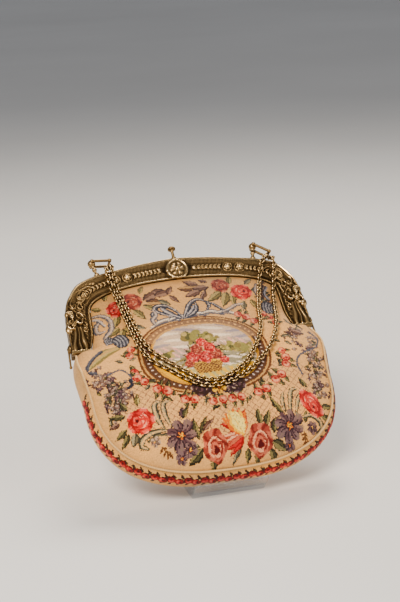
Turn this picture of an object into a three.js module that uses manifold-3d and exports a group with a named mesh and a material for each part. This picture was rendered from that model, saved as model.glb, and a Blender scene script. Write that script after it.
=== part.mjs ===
// An embroidered evening purse with a cast gilt frame, leaning back on a clear display stand.
// Lengths are millimetres and +Z is up. The purse is drawn upright in its own plane: u runs
// across it, v up along it and w forward out of it. One group then leans it back on the stand.

import * as THREE from 'three';
import { mergeGeometries, mergeVertices } from 'three/addons/utils/BufferGeometryUtils.js';
import Module from 'manifold-3d';

const wasm = await Module();
wasm.setup();

// Driving dimensions
const LEAN = THREE.MathUtils.degToRad(45);
const GAP = 0.3;
const FRONT_THICKNESS = 5;
const BACK_THICKNESS = 6;
const HALF_CLEARANCE = 0.2;
const FRONT_MIDDLE = (FRONT_THICKNESS + HALF_CLEARANCE) / 2;
const CLOTH = 1.6;
const SEAM_CORD_RADIUS = 1.1;
const SEAM_CORD_STEPS = 36;
const PANEL_INSET = 1.6;
const GUSSET_INSET = 1.8;
const CHAIN_RADIUS = 1.7;
const CHAIN_LIFT = CHAIN_RADIUS + 0.9;
const MEDALLION = { v: 67, radius: 9.3 };
const GARLAND_LEVEL = 4.3;
const GARLAND_ACROSS = 0.46;
const POST = { u: 66.5, v: 69.8, tilt: THREE.MathUtils.degToRad(12), ball: 3.2, ballHeight: 12.2, bore: 1.3 };
const SHACKLE = { wire: 0.95, halfSpan: 4.5, length: 14.5, ball: 1.4 };
const PUSHER = { stem: 1.2, bore: 1.6, seat: 78, boreDepth: 7.5, reach: 4.5, headHeight: 9, head: 3.25 };
const HINGE = { v: 7, rivet: 3.6, tailLength: 16, splay: 2, ball: 1.3 };
const STAND = { width: 58, sheet: 2, shelf: 18, restTop: -6, base: 118 };

// Frame outline from the hinge end to the middle of the top: outer edge, then inner edge
const FRAME_STATIONS = [
  // outerU, outerV, innerU, innerV
  [100, 0, 85, 0],
  [99.6, 18, 80.3, 15],
  [99, 32, 79.2, 29],
  [97, 45, 78.6, 37],
  [93, 53, 76.5, 42],
  [87, 61, 72.5, 45.6],
  [80, 65.4, 66, 49],
  [68, 69.4, 57, 52],
  [50, 72.6, 44, 54.8],
  [26, 76, 24, 57],
  [0, 78, 0, 57.9],
];
const FRAME_STEPS = 40;
const FRAME_MOUTH_TOP = FRAME_STATIONS[FRAME_STATIONS.length - 1][3];

// Mouldings of the two halves: share of the way from the outer to the inner edge, height
const FRONT_MOULDING = [
  [0, HALF_CLEARANCE],
  [0, 4],
  [0.03, 5],
  [0.09, 5],
  [0.12, GARLAND_LEVEL],
  [0.8, GARLAND_LEVEL],
  [0.82, 4.8],
  [0.86, 4.8],
  [0.88, GARLAND_LEVEL],
  [0.93, 5.2],
  [0.98, 5],
  [1, 4.2],
  [1, HALF_CLEARANCE],
];
const BACK_MOULDING = [
  [1, -HALF_CLEARANCE],
  [1, -5],
  [0.94, -BACK_THICKNESS],
  [0.06, -BACK_THICKNESS],
  [0, -5],
  [0, -HALF_CLEARANCE],
];

// Cast garland, outward from the medallion: share of the half arch, rosette radius or 0 for a leaf pair
const GARLAND = [
  // along, rosette
  [0.13, 0],
  [0.19, 0],
  [0.25, 0],
  [0.32, 3.9],
  [0.4, 4.3],
  [0.47, 0],
  [0.53, 0],
  [0.6, 4.6],
];
const LEAF = { length: 3.3, width: 1.4, height: 1.3, spread: 1.7, turn: THREE.MathUtils.degToRad(28) };

// Lumps of the cast figure at each end: place, then half sizes
const FIGURE_LUMPS = [
  // u, v, w, halfU, halfV, halfW
  [94.4, 34.6, 4.6, 3, 3.6, 2.6],
  [95.4, 38, 4.4, 3, 2.2, 1.9],
  [94, 27.6, 4.3, 3.8, 5, 2.4],
  [98.4, 22.6, 3.6, 3, 3.8, 1.9],
  [88.6, 25.4, 4, 3.4, 2.4, 1.8],
  [88.4, 12, 4.3, 2.6, 9.6, 2.1],
  [94.8, 12, 4.3, 2.8, 10, 2.3],
];
const LEDGE = { u: 92.4, width: 15.6, height: 3, depth: 2.2 };

// Bag sides below the frame, down to where the round bottom takes over
const SIDE_ROWS = [
  // v, halfWidth, frontSeam, backSeam, bulge
  [-1, 97, 3.4, -4, 0],
  [-6, 98, 6.8, -4.5, 1.5],
  [-14, 98.9, 13, -5, 3],
  [-24, 98.5, 19, -5, 4.5],
  [-38, 96.8, 20, -5, 5],
];
const BOTTOM = { v: -50, halfWidth: 95.5, depth: 71, power: 2.5, frontSeam: 20, backSeam: -5, bulge: 5 };
const BOTTOM_ROWS = 10;
const UPPER_ROWS = 9;

// Crown of each panel over its middle: level at the frame, at the fullest point and at the bottom seam
const FRONT_CROWN = { top: 3.5, full: 38, fullV: -75, bottom: 20, rise: 1.65, fall: 2.6 };
const BACK_CROWN = { top: 3.5, full: 8, fullV: -20, bottom: 5, rise: 2.6, fall: 5 };
const FRAME_SEAM_LEVEL = 3.5;
const CROSS_POWER = 2.4;
const SHOULDER_SPREAD = 8.5;
const EDGE_DIP = 3.5;
const SWELL = { fromV: 25, toV: -38 };
const PANEL_COLUMNS = 16;
const CREASE = { fromU: 84, fromV: -2, toU: 97, toV: -24, depth: 2.6, width: 4.5 };

// Chain routes from the left shackle to the right one; a row with no level lies on the cloth
const CHAIN_INNER_ROUTE = [
  // u, v, level
  [-54.6, 78.2, 5],
  [-54.4, 74, 7.4],
  [-54.8, 68, 9],
  [-54.6, 60, 8.6],
  [-54, 53, 7.8],
  [-52.4, 41],
  [-50.2, 17],
  [-47.4, -9],
  [-41.4, -22],
  [-31, -34],
  [-19.6, -45.6],
  [-9.4, -52.6],
  [-1, -54],
  [11, -51],
  [23.7, -43.5],
  [34.3, -32.6],
  [48.4, -9],
  [55.7, 17.7],
  [63, 40],
  [67, 52, 7.9],
  [71, 62, 9],
  [75.6, 68, 8.8],
  [79.4, 71.1, 4.4],
];
const CHAIN_OUTER_ROUTE = [
  // u, v, level
  [-55, 77.6, 0.6],
  [-58.4, 74.2, 6],
  [-59.2, 69, 8.9],
  [-58.8, 60, 8.6],
  [-58.2, 53, 7.8],
  [-56.4, 41],
  [-54.3, 17],
  [-51.8, -10],
  [-46.9, -25.7],
  [-34.4, -39],
  [-21.7, -51],
  [-11.5, -57.6],
  [-2.3, -59],
  [11.1, -56.7],
  [26.1, -49.6],
  [40.1, -38.3],
  [51.2, -27],
  [63.2, -6],
  [70.6, 18.5],
  [74.6, 36, 7.9],
  [78.4, 50, 9],
  [80.6, 60, 9],
  [81.6, 66, 7.6],
  [81.4, 70.4, 0.2],
];
const CHAIN_STEPS = 37;

// Finishes
const GILT = { color: 0xa58443, roughness: 0.38, metalness: 1 };
const GILT_DARK = { color: 0x8a6c36, roughness: 0.45, metalness: 1 };
const CANVAS = { color: 0xd8bd95, roughness: 0.9, metalness: 0 };
const GOLD_THREAD = { color: 0xb18d4c, roughness: 0.55, metalness: 0.4 };
const ACRYLIC = { color: 0xeaf2f4, roughness: 0.08, metalness: 0, transparent: true, opacity: 0.3 };

const at = (u, v, w) => new THREE.Vector3(u, -w, v);
const lerp = THREE.MathUtils.lerp;

// Indexed copy of a geometry with shared vertices merged and collapsed triangles left out
function welded(geometry) {
  const bare = geometry.clone();
  bare.deleteAttribute('normal');
  bare.deleteAttribute('uv');
  const merged = mergeVertices(bare, 1e-4);
  const kept = [];
  const index = merged.index.array;
  for (let i = 0; i < index.length; i += 3) {
    const [a, b, c] = [index[i], index[i + 1], index[i + 2]];
    if (a !== b && b !== c && c !== a) kept.push(a, b, c);
  }
  merged.setIndex(kept);
  return merged;
}

function toSolid(geometry) {
  const clean = welded(geometry);
  return new wasm.Manifold(new wasm.Mesh({
    numProp: 3,
    vertProperties: new Float32Array(clean.attributes.position.array),
    triVerts: new Uint32Array(clean.index.array),
  }));
}

function toGeometry(solid) {
  const mesh = solid.getMesh();
  const geometry = new THREE.BufferGeometry();
  geometry.setAttribute('position', new THREE.BufferAttribute(new Float32Array(mesh.vertProperties), 3));
  geometry.setIndex(new THREE.BufferAttribute(new Uint32Array(mesh.triVerts), 1));
  return geometry;
}

const joined = (geometries) => geometries.map(toSolid).reduce((whole, next) => whole.add(next));

function named(name, geometry, finish) {
  const clean = welded(geometry);
  clean.computeVertexNormals();
  const mesh = new THREE.Mesh(clean, new THREE.MeshStandardMaterial(finish));
  mesh.name = name;
  return mesh;
}

// Closed body from rings of equal length, with flat caps shaped like the profile
function sweptBody(rings, profile) {
  const count = profile.length;
  const positions = rings.flat().flatMap((point) => point.toArray());
  const index = [];
  for (let i = 0; i + 1 < rings.length; i++) {
    for (let j = 0; j < count; j++) {
      const next = (j + 1) % count;
      const [a, b] = [i * count + j, i * count + next];
      index.push(a, b, b + count, a, b + count, a + count);
    }
  }
  const last = (rings.length - 1) * count;
  const clockwise = THREE.ShapeUtils.isClockWise(profile);
  for (const corners of THREE.ShapeUtils.triangulateShape(profile, [])) {
    const [a, b, c] = clockwise ? corners.toReversed() : corners;
    index.push(c, b, a, last + a, last + b, last + c);
  }
  const geometry = new THREE.BufferGeometry();
  geometry.setAttribute('position', new THREE.Float32BufferAttribute(positions, 3));
  geometry.setIndex(index);
  return facingOut(geometry);
}

// Turns every triangle over where the body would enclose a negative volume
function facingOut(geometry) {
  const position = geometry.attributes.position;
  const index = geometry.index.array;
  const corner = [new THREE.Vector3(), new THREE.Vector3(), new THREE.Vector3()];
  let volume = 0;
  for (let i = 0; i < index.length; i += 3) {
    corner.forEach((point, k) => point.fromBufferAttribute(position, index[i + k]));
    volume += corner[0].dot(corner[1].clone().cross(corner[2]));
  }
  if (volume < 0) geometry.setIndex(Array.from(index).reverse());
  return geometry;
}

// Cloth wall from a grid of points on its outer face; side is the outward sense of the grid
function clothWall(grid, side) {
  const rows = grid.length;
  const columns = grid[0].length;
  const clampRow = (i) => Math.min(Math.max(i, 0), rows - 1);
  const clampColumn = (j) => Math.min(Math.max(j, 0), columns - 1);
  const inner = grid.map((row, i) => row.map((point, j) => {
    const along = grid[i][clampColumn(j + 1)].clone().sub(grid[i][clampColumn(j - 1)]);
    const down = grid[clampRow(i + 1)][j].clone().sub(grid[clampRow(i - 1)][j]);
    const normal = down.cross(along).normalize().multiplyScalar(side);
    return point.clone().addScaledVector(normal, -CLOTH);
  }));
  const positions = [...grid.flat(), ...inner.flat()].flatMap((point) => point.toArray());
  const shift = rows * columns;
  const id = (i, j) => i * columns + j;
  const index = [];
  const quad = (a, b, c, d) => index.push(a, b, c, a, c, d);
  for (let i = 0; i + 1 < rows; i++) {
    for (let j = 0; j + 1 < columns; j++) {
      quad(id(i, j), id(i + 1, j), id(i + 1, j + 1), id(i, j + 1));
      quad(shift + id(i, j), shift + id(i, j + 1), shift + id(i + 1, j + 1), shift + id(i + 1, j));
    }
    quad(id(i, 0), shift + id(i, 0), shift + id(i + 1, 0), id(i + 1, 0));
    const edge = columns - 1;
    quad(id(i + 1, edge), shift + id(i + 1, edge), shift + id(i, edge), id(i, edge));
  }
  for (let j = 0; j + 1 < columns; j++) {
    quad(id(0, j + 1), shift + id(0, j + 1), shift + id(0, j), id(0, j));
    const end = rows - 1;
    quad(id(end, j), shift + id(end, j), shift + id(end, j + 1), id(end, j + 1));
  }
  const geometry = new THREE.BufferGeometry();
  geometry.setAttribute('position', new THREE.Float32BufferAttribute(positions, 3));
  geometry.setIndex(index);
  return facingOut(geometry);
}

// Closed round tube along points of the purse plane
function tube(points, radius, steps) {
  const section = new THREE.Shape();
  section.absarc(0, 0, radius, 0, 2 * Math.PI);
  const extrudePath = new THREE.CatmullRomCurve3(points, false, 'centripetal');
  return new THREE.ExtrudeGeometry(section, { steps, extrudePath, curveSegments: 4, bevelEnabled: false });
}

// Round bar between two points
function bar(from, to, radius, sides = 8) {
  const axis = to.clone().sub(from);
  const geometry = new THREE.CylinderGeometry(radius, radius, axis.length(), sides);
  const along = new THREE.Vector3(0, 1, 0);
  geometry.applyQuaternion(new THREE.Quaternion().setFromUnitVectors(along, axis.clone().normalize()));
  const middle = from.clone().add(to).multiplyScalar(0.5);
  return geometry.translate(middle.x, middle.y, middle.z);
}

function lump(u, v, w, halfU, halfV, halfW, turn = 0, sides = 6) {
  const place = at(u, v, w);
  const geometry = new THREE.SphereGeometry(1, sides, sides / 2).scale(halfU, halfW, halfV);
  return geometry.rotateY(-turn).translate(place.x, place.y, place.z);
}

// Lathe profile turned about v at a point of the purse plane, leaning sideways by tilt
function turned(profile, u, v, w, tilt = 0, sides = 9) {
  const place = at(u, v, w);
  const points = profile.map(([radius, height]) => new THREE.Vector2(radius, height));
  const geometry = new THREE.LatheGeometry(points, sides).rotateX(Math.PI / 2).rotateY(tilt);
  return geometry.translate(place.x, place.y, place.z);
}

// Frame curves through the stations, from the right end over the top to the left end
function archCurve(uColumn, vColumn) {
  const right = FRAME_STATIONS.map((row) => new THREE.Vector2(row[uColumn], row[vColumn]));
  const left = right.slice(0, -1).reverse().map((point) => new THREE.Vector2(-point.x, point.y));
  return new THREE.SplineCurve([...right, ...left]);
}
const OUTER_EDGE = archCurve(0, 1);
const INNER_EDGE = archCurve(2, 3);

function frameBand(moulding) {
  const rings = [];
  for (let i = 0; i <= FRAME_STEPS; i++) {
    const outer = OUTER_EDGE.getPoint(i / FRAME_STEPS);
    const inner = INNER_EDGE.getPoint(i / FRAME_STEPS);
    rings.push(moulding.map(([across, height]) => {
      const place = outer.clone().lerp(inner, across);
      return at(place.x, place.y, height);
    }));
  }
  return sweptBody(rings, moulding.map(([across, height]) => new THREE.Vector2(across, height)));
}

// Middle of the band, where the garland runs
function garlandCurve() {
  const points = [];
  for (let i = 0; i <= FRAME_STEPS; i++) {
    const outer = OUTER_EDGE.getPoint(i / FRAME_STEPS);
    points.push(outer.lerp(INNER_EDGE.getPoint(i / FRAME_STEPS), GARLAND_ACROSS));
  }
  return new THREE.SplineCurve(points);
}

function rosetteProfile(radius) {
  return [[0, -1], [radius, -1], [radius, 0.5], [radius * 0.55, 0.6], [radius * 0.45, 1.5], [0, 1.7]];
}

function garland() {
  const line = garlandCurve();
  const pieces = [];
  for (const side of [-1, 1]) {
    for (const [along, rosette] of GARLAND) {
      const share = 0.5 + side * along / 2;
      const place = line.getPointAt(share);
      if (rosette > 0) {
        pieces.push(boss(rosetteProfile(rosette), place.x, place.y, 8));
        continue;
      }
      const tangent = line.getTangentAt(share);
      const heading = Math.atan2(tangent.y, tangent.x);
      for (const lean of [-1, 1]) {
        const u = place.x - Math.sin(heading) * LEAF.spread * lean;
        const v = place.y + Math.cos(heading) * LEAF.spread * lean;
        const turn = heading + side * lean * LEAF.turn;
        pieces.push(lump(u, v, GARLAND_LEVEL, LEAF.length, LEAF.width, LEAF.height, turn));
      }
    }
  }
  return pieces;
}

// Round boss that faces forward on the band
function boss(heights, u, v, sides) {
  const points = heights.map(([radius, height]) => new THREE.Vector2(radius, height));
  const place = at(u, v, GARLAND_LEVEL);
  return new THREE.LatheGeometry(points, sides).rotateX(Math.PI).translate(place.x, place.y, place.z);
}

function medallion() {
  const r = MEDALLION.radius;
  const dish = [[0, -2], [r, -2], [r, 1.2], [r - 0.7, 1.9], [r - 1.5, 1.2], [r - 2.2, 0.9], [0, 1.1]];
  const petals = [];
  for (let i = 0; i < 6; i++) {
    const angle = i * Math.PI / 3;
    const u = Math.cos(angle) * r * 0.4;
    const v = MEDALLION.v + Math.sin(angle) * r * 0.4;
    petals.push(lump(u, v, GARLAND_LEVEL + 1, r * 0.3, r * 0.18, 1, angle));
  }
  const eye = [[0, 0], [2, 0], [1.6, 1.8], [0, 2.3]];
  return [boss(dish, 0, MEDALLION.v, 22), boss(eye, 0, MEDALLION.v, 10), ...petals];
}

function endFigure(side) {
  const ledge = new THREE.BoxGeometry(LEDGE.width, LEDGE.depth, LEDGE.height);
  const place = at(side * LEDGE.u, LEDGE.height / 2, FRONT_THICKNESS);
  ledge.translate(place.x, place.y, place.z);
  return [ledge, ...FIGURE_LUMPS.map(([u, ...rest]) => lump(side * u, ...rest, 0, 8))];
}

function postBall(side) {
  const reach = POST.ballHeight;
  return { u: side * (POST.u + Math.sin(POST.tilt) * reach), v: POST.v + Math.cos(POST.tilt) * reach };
}

function chainPost(side) {
  const profile = [[0, -3], [1.5, -3], [2.2, 0], [2.2, 1.6], [1.2, 2.4], [1.2, 4.6], [2, 5.8], [1.3, 7.6]];
  const steps = 6;
  for (let i = 1; i <= steps; i++) {
    const angle = lerp(-1.1, Math.PI / 2, i / steps);
    profile.push([POST.ball * Math.cos(angle), POST.ballHeight + POST.ball * Math.sin(angle)]);
  }
  profile[profile.length - 1][0] = 0;
  return turned(profile, side * POST.u, POST.v, FRONT_MIDDLE, side * POST.tilt);
}

function frameFront() {
  const collar = [[0, -1.5], [2.2, -1.5], [2.2, 1], [1.9, 1.4], [0, 1.4]];
  const pieces = [frameBand(FRONT_MOULDING), ...garland(), ...medallion()];
  pieces.push(turned(collar, 0, PUSHER.seat, FRONT_MIDDLE));
  for (const side of [-1, 1]) pieces.push(...endFigure(side), chainPost(side));
  let whole = joined(pieces);
  for (const side of [-1, 1]) {
    const ball = postBall(side);
    const from = at(ball.u, ball.v, FRONT_MIDDLE - 2 * POST.ball);
    whole = whole.subtract(toSolid(bar(from, at(ball.u, ball.v, FRONT_MIDDLE + 2 * POST.ball), POST.bore)));
  }
  const foot = at(0, PUSHER.seat - PUSHER.boreDepth, FRONT_MIDDLE);
  const mouth = at(0, PUSHER.seat + PUSHER.boreDepth, FRONT_MIDDLE);
  return toGeometry(whole.subtract(toSolid(bar(foot, mouth, PUSHER.bore))));
}

function claspPusher() {
  const head = PUSHER.headHeight;
  const profile = [
    [0, -PUSHER.reach], [PUSHER.stem, -PUSHER.reach], [PUSHER.stem, head - 1.6], [1.8, head - 0.6],
    [PUSHER.head, head], [PUSHER.head, head + 1.2], [2.6, head + 2.3], [1.4, head + 2.9], [0, head + 3.1],
  ];
  return turned(profile, 0, PUSHER.seat, FRONT_MIDDLE, 0, 14);
}

// Rivet head over the outer side of both halves, with a tail that ends in a ball
function hinge(side) {
  const u = side * (OUTER_EDGE.getPoint(0).x + GAP + 0.1);
  const dome = new THREE.SphereGeometry(HINGE.rivet, 12, 4, 0, 2 * Math.PI, 0, Math.PI / 2);
  const disc = new THREE.CircleGeometry(HINGE.rivet, 12).rotateX(Math.PI / 2);
  const cap = mergeGeometries([dome, disc]);
  cap.scale(1, 0.5, 1).rotateZ(-side * Math.PI / 2).translate(u, 0, HINGE.v);
  const root = new THREE.Vector3(u + side * 1.2, 0, HINGE.v);
  const tip = new THREE.Vector3(u + side * HINGE.splay, 0, HINGE.v - HINGE.tailLength);
  const ball = new THREE.SphereGeometry(HINGE.ball, 8, 6).translate(tip.x, tip.y, tip.z);
  return toGeometry(joined([cap, bar(root, tip, 0.8), ball]));
}

// Bail whose pin passes through the post's ball; aim is its angle in the purse plane
function shackle(side, aim) {
  const ball = postBall(side);
  const endU = ball.u + Math.cos(aim) * SHACKLE.length;
  const endV = ball.v + Math.sin(aim) * SHACKLE.length;
  const [near, far] = [-1, 1].map((turn) => FRONT_MIDDLE + turn * SHACKLE.halfSpan);
  const corners = [near, far].flatMap((w) => [at(ball.u, ball.v, w), at(endU, endV, w)]);
  const [pinNear, endNear, pinFar, endFar] = corners;
  const runs = [[pinNear, pinFar], [pinNear, endNear], [pinFar, endFar], [endNear, endFar]];
  const knobs = corners.map((p) => new THREE.SphereGeometry(SHACKLE.ball, 6, 4).translate(p.x, p.y, p.z));
  return toGeometry(joined([...runs.map(([from, to]) => bar(from, to, SHACKLE.wire, 6)), ...knobs]));
}

// Half width of the bag's outline, and the two seams' levels, at each row from the frame down
function outlineRows(inset) {
  const rows = SIDE_ROWS.map(([v, halfWidth, front, back, bulge]) => (
    { v, u: halfWidth - inset, front, back, bulge }));
  const exponent = 2 / BOTTOM.power;
  for (let i = 0; i <= BOTTOM_ROWS; i++) {
    const angle = i / BOTTOM_ROWS * Math.PI / 2;
    rows.push({
      v: BOTTOM.v - (BOTTOM.depth - inset) * Math.sin(angle) ** exponent,
      u: (BOTTOM.halfWidth - inset) * Math.max(Math.cos(angle), 0) ** exponent,
      front: BOTTOM.frontSeam,
      back: BOTTOM.backSeam,
      bulge: BOTTOM.bulge,
    });
  }
  return rows;
}

function panelRows() {
  const rows = [];
  for (let i = 1; i <= UPPER_ROWS; i++) {
    const edge = INNER_EDGE.getPoint(0.5 - 0.5 * i / UPPER_ROWS);
    const [v, u] = [edge.y - GAP, edge.x - GAP];
    const cross = u + SHOULDER_SPREAD * Math.min(1 - v / FRAME_MOUTH_TOP, 1) ** 1.5;
    rows.push({ v, u, cross, front: FRAME_SEAM_LEVEL, back: -FRAME_SEAM_LEVEL });
  }
  const lower = outlineRows(PANEL_INSET).map((row) => ({ ...row, cross: row.u }));
  const nearBottom = lower.pop();
  const above = lower[lower.length - 1];
  const foot = { ...above, v: lerp(above.v, nearBottom.v, 0.8), u: above.u * 0.45 };
  rows.push(...lower, { ...foot, cross: foot.u });
  return rows;
}

// Level of a panel's middle line at height v
function crownLevel(crown, v) {
  const bottom = BOTTOM.v - BOTTOM.depth;
  if (v > crown.fullV) {
    const share = (v - crown.fullV) / (FRAME_MOUTH_TOP - crown.fullV);
    return crown.full - (crown.full - crown.top) * share ** crown.rise;
  }
  const share = Math.min((crown.fullV - v) / (crown.fullV - bottom), 1);
  return crown.full - (crown.full - crown.bottom) * share ** crown.fall;
}

// Pinch in the cloth below each end of the frame
function creaseDepth(u, v) {
  const run = new THREE.Vector2(CREASE.toU - CREASE.fromU, CREASE.toV - CREASE.fromV);
  const offset = new THREE.Vector2(Math.abs(u) - CREASE.fromU, v - CREASE.fromV);
  const share = THREE.MathUtils.clamp(offset.dot(run) / run.lengthSq(), 0, 1);
  const distance = offset.addScaledVector(run, -share).length();
  return CREASE.depth * (1 - share) * Math.exp(-((distance / CREASE.width) ** 2));
}

// Level that the front panel's sides swell to, from the frame's mouth down to the full seam
function swellLevel(v) {
  const share = THREE.MathUtils.smoothstep(-v, -SWELL.fromV, -SWELL.toV);
  return lerp(FRAME_SEAM_LEVEL, BOTTOM.frontSeam, share);
}

// Level of the front panel in a row: an arch across, drawn in at its edge to the frame or the seam
function frontLevel(u, v, row) {
  const crown = crownLevel(FRONT_CROWN, v);
  const swell = swellLevel(v);
  const arch = (x) => lerp(crown, swell, Math.min(Math.abs(x) / row.cross, 1) ** CROSS_POWER);
  const dip = (arch(row.u) - row.front) * Math.exp(-Math.max(row.u - Math.abs(u), 0) / EDGE_DIP);
  return arch(u) - dip - creaseDepth(u, v);
}

// Front panel's level anywhere, from the rows on either side of height v
function frontLevelAt(u, v) {
  const rows = PANEL_ROWS;
  const next = Math.max(rows.findIndex((row) => row.v <= v), 1);
  const [upper, lower] = [rows[next - 1], rows[next]];
  const share = (upper.v - v) / (upper.v - lower.v);
  const between = (key) => lerp(upper[key], lower[key], share);
  return frontLevel(u, v, { u: between('u'), cross: between('cross'), front: between('front') });
}

// Shares of the half width, closer together towards the seams
const columnShares = Array.from({ length: PANEL_COLUMNS + 1 }, (_, j) => (
  Math.sin((j / PANEL_COLUMNS - 0.5) * Math.PI)));
const PANEL_ROWS = panelRows();

function bagFront() {
  const grid = PANEL_ROWS.map((row) => columnShares.map((share) => (
    at(share * row.u, row.v, frontLevel(share * row.u, row.v, row)))));
  return clothWall(grid, 1);
}

function bagBack() {
  const shares = columnShares.filter((_, j) => j % 2 === 0);
  const grid = PANEL_ROWS.map((row) => shares.map((share) => {
    const level = lerp(-crownLevel(BACK_CROWN, row.v), row.back, Math.abs(share) ** CROSS_POWER);
    return at(share * row.u, row.v, level);
  }));
  return clothWall(grid, -1);
}

// Seam line round the bag, from the right end of the frame to the left end
function seamPath() {
  const right = outlineRows(0);
  const left = right.slice(0, -1).reverse().map((row) => ({ ...row, u: -row.u }));
  return [...right, ...left];
}

function bagGusset() {
  const path = seamPath();
  const columns = 4;
  const grid = path.map((row, i) => {
    const before = path[Math.max(i - 1, 0)];
    const after = path[Math.min(i + 1, path.length - 1)];
    const outward = new THREE.Vector2(before.v - after.v, after.u - before.u).normalize();
    return Array.from({ length: columns + 1 }, (_, j) => {
      const across = j / columns;
      const out = row.bulge * (1 - (2 * across - 1) ** 2);
      const level = lerp(row.back + GUSSET_INSET, row.front - GUSSET_INSET, across);
      return at(row.u + outward.x * out, row.v + outward.y * out, level);
    });
  });
  return clothWall(grid, -1);
}

function seamCord(levelOf) {
  const points = seamPath().map((row) => at(row.u, row.v, levelOf(row)));
  return tube(points, SEAM_CORD_RADIUS, SEAM_CORD_STEPS);
}

function chainStrand(route) {
  const step = 0.5;
  const points = route.map(([u, v, level]) => {
    if (level !== undefined) return at(u, v, level);
    const slopeU = (frontLevelAt(u + step, v) - frontLevelAt(u - step, v)) / (2 * step);
    const slopeV = (frontLevelAt(u, v + step) - frontLevelAt(u, v - step)) / (2 * step);
    return at(u, v, frontLevelAt(u, v) + CHAIN_LIFT * Math.hypot(1, slopeU, slopeV));
  });
  return tube(points, CHAIN_RADIUS, CHAIN_STEPS);
}

// Where the stand meets the purse, in the purse plane: shelf top and back rest face
const SHELF_V = BOTTOM.v - BOTTOM.depth - BOTTOM.bulge - GAP;
const REST_W = -BACK_CROWN.full - GAP;

// The stand's outer corner is the front of its base, half the base's length before the origin
const CORNER = leaned(SHELF_V - STAND.sheet, REST_W - STAND.sheet);
const PURSE_PLACE = new THREE.Vector2(-STAND.base / 2 - CORNER.x, -CORNER.y);

// A point of the purse plane's side view as (Y, Z), before the purse is put in place
function leaned(v, w) {
  return new THREE.Vector2(v * Math.sin(LEAN) - w * Math.cos(LEAN), v * Math.cos(LEAN) + w * Math.sin(LEAN));
}

// Crossing of two lines, each given by a point and a direction
function crossing(pointA, runA, pointB, runB) {
  const offset = pointB.clone().sub(pointA);
  return pointA.clone().addScaledVector(runA, offset.cross(runB) / runA.cross(runB));
}

function displayStand() {
  const place = (v, w) => leaned(v, w).add(PURSE_PLACE);
  const shelfEnd = REST_W + STAND.shelf;
  const restBack = REST_W - STAND.sheet;
  const heel = new THREE.Vector2(STAND.base / 2, 0);
  const top = place(STAND.restTop, restBack);
  const legRun = heel.clone().sub(top).normalize();
  const legInner = top.clone().addScaledVector(new THREE.Vector2(legRun.y, -legRun.x), STAND.sheet);
  const restRun = new THREE.Vector2(Math.sin(LEAN), Math.cos(LEAN));
  const floorTop = new THREE.Vector2(0, STAND.sheet);
  const level = new THREE.Vector2(1, 0);
  const outline = new THREE.Shape([
    place(SHELF_V, shelfEnd), place(SHELF_V, REST_W), place(STAND.restTop, REST_W), top, heel,
    place(SHELF_V - STAND.sheet, restBack), place(SHELF_V - STAND.sheet, shelfEnd),
  ]);
  outline.holes.push(new THREE.Path([
    crossing(top, restRun, floorTop, level),
    crossing(legInner, legRun, floorTop, level),
    crossing(top, restRun, legInner, legRun),
  ]));
  const geometry = new THREE.ExtrudeGeometry(outline, { depth: STAND.width, bevelEnabled: false });
  const sideways = new THREE.Matrix4().makeBasis(
    new THREE.Vector3(0, 1, 0), new THREE.Vector3(0, 0, 1), new THREE.Vector3(1, 0, 0));
  return geometry.applyMatrix4(sideways).translate(-STAND.width / 2, 0, 0);
}

const purse = new THREE.Group();
purse.position.set(0, PURSE_PLACE.x, PURSE_PLACE.y);
purse.rotation.x = -LEAN;
purse.add(
  named('frame_front', frameFront(), GILT),
  named('frame_back', frameBand(BACK_MOULDING), GILT_DARK),
  named('hinge_left', hinge(-1), GILT),
  named('hinge_right', hinge(1), GILT),
  named('clasp_pusher', claspPusher(), GILT),
  named('shackle_left', shackle(-1, THREE.MathUtils.degToRad(-4)), GILT),
  named('shackle_right', shackle(1, THREE.MathUtils.degToRad(-36)), GILT),
  named('chain_inner', chainStrand(CHAIN_INNER_ROUTE), GILT),
  named('chain_outer', chainStrand(CHAIN_OUTER_ROUTE), GILT),
  named('bag_front', bagFront(), CANVAS),
  named('bag_back', bagBack(), CANVAS),
  named('bag_gusset', bagGusset(), CANVAS),
  named('seam_cord_front', seamCord((row) => row.front), GOLD_THREAD),
  named('seam_cord_back', seamCord((row) => row.back), GOLD_THREAD),
);

const assembly = new THREE.Group();
assembly.add(purse, named('display_stand', displayStand(), ACRYLIC));

export default assembly;
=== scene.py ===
# %% [markdown]
# # An embroidered evening purse on a clear stand
# The purse is a soft bag of petit point, hung in a cast gilt frame with a push clasp and a carrying
# chain of two strands. It leans back on a bent sheet of clear plastic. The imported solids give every
# size, and this script dresses them: stitches, relief, links and finishes.

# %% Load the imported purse
import math

import bpy
import numpy as np
from mathutils import Matrix


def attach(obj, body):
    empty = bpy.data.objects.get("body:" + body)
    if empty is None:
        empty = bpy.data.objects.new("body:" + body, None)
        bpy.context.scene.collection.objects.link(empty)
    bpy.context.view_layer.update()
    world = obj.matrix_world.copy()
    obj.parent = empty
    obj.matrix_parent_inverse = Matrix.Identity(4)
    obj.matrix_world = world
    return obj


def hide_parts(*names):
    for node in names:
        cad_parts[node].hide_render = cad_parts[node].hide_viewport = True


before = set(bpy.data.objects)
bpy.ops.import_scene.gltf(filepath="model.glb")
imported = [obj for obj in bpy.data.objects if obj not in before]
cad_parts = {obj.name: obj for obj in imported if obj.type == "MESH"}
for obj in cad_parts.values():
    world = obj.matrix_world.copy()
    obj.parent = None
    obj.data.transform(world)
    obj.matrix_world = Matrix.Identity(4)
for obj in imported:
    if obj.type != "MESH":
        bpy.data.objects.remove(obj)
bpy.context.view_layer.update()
print("solids:", sorted(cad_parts))

# %% [markdown]
# ## The purse's own plane
# The purse was drawn upright and then leaned back by 45 degrees. Every piece is easier to think of in
# that upright plane, so one function turns its millimetres into Blender's metres: u runs across the
# purse, v up along it, and w out of its front.

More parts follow.
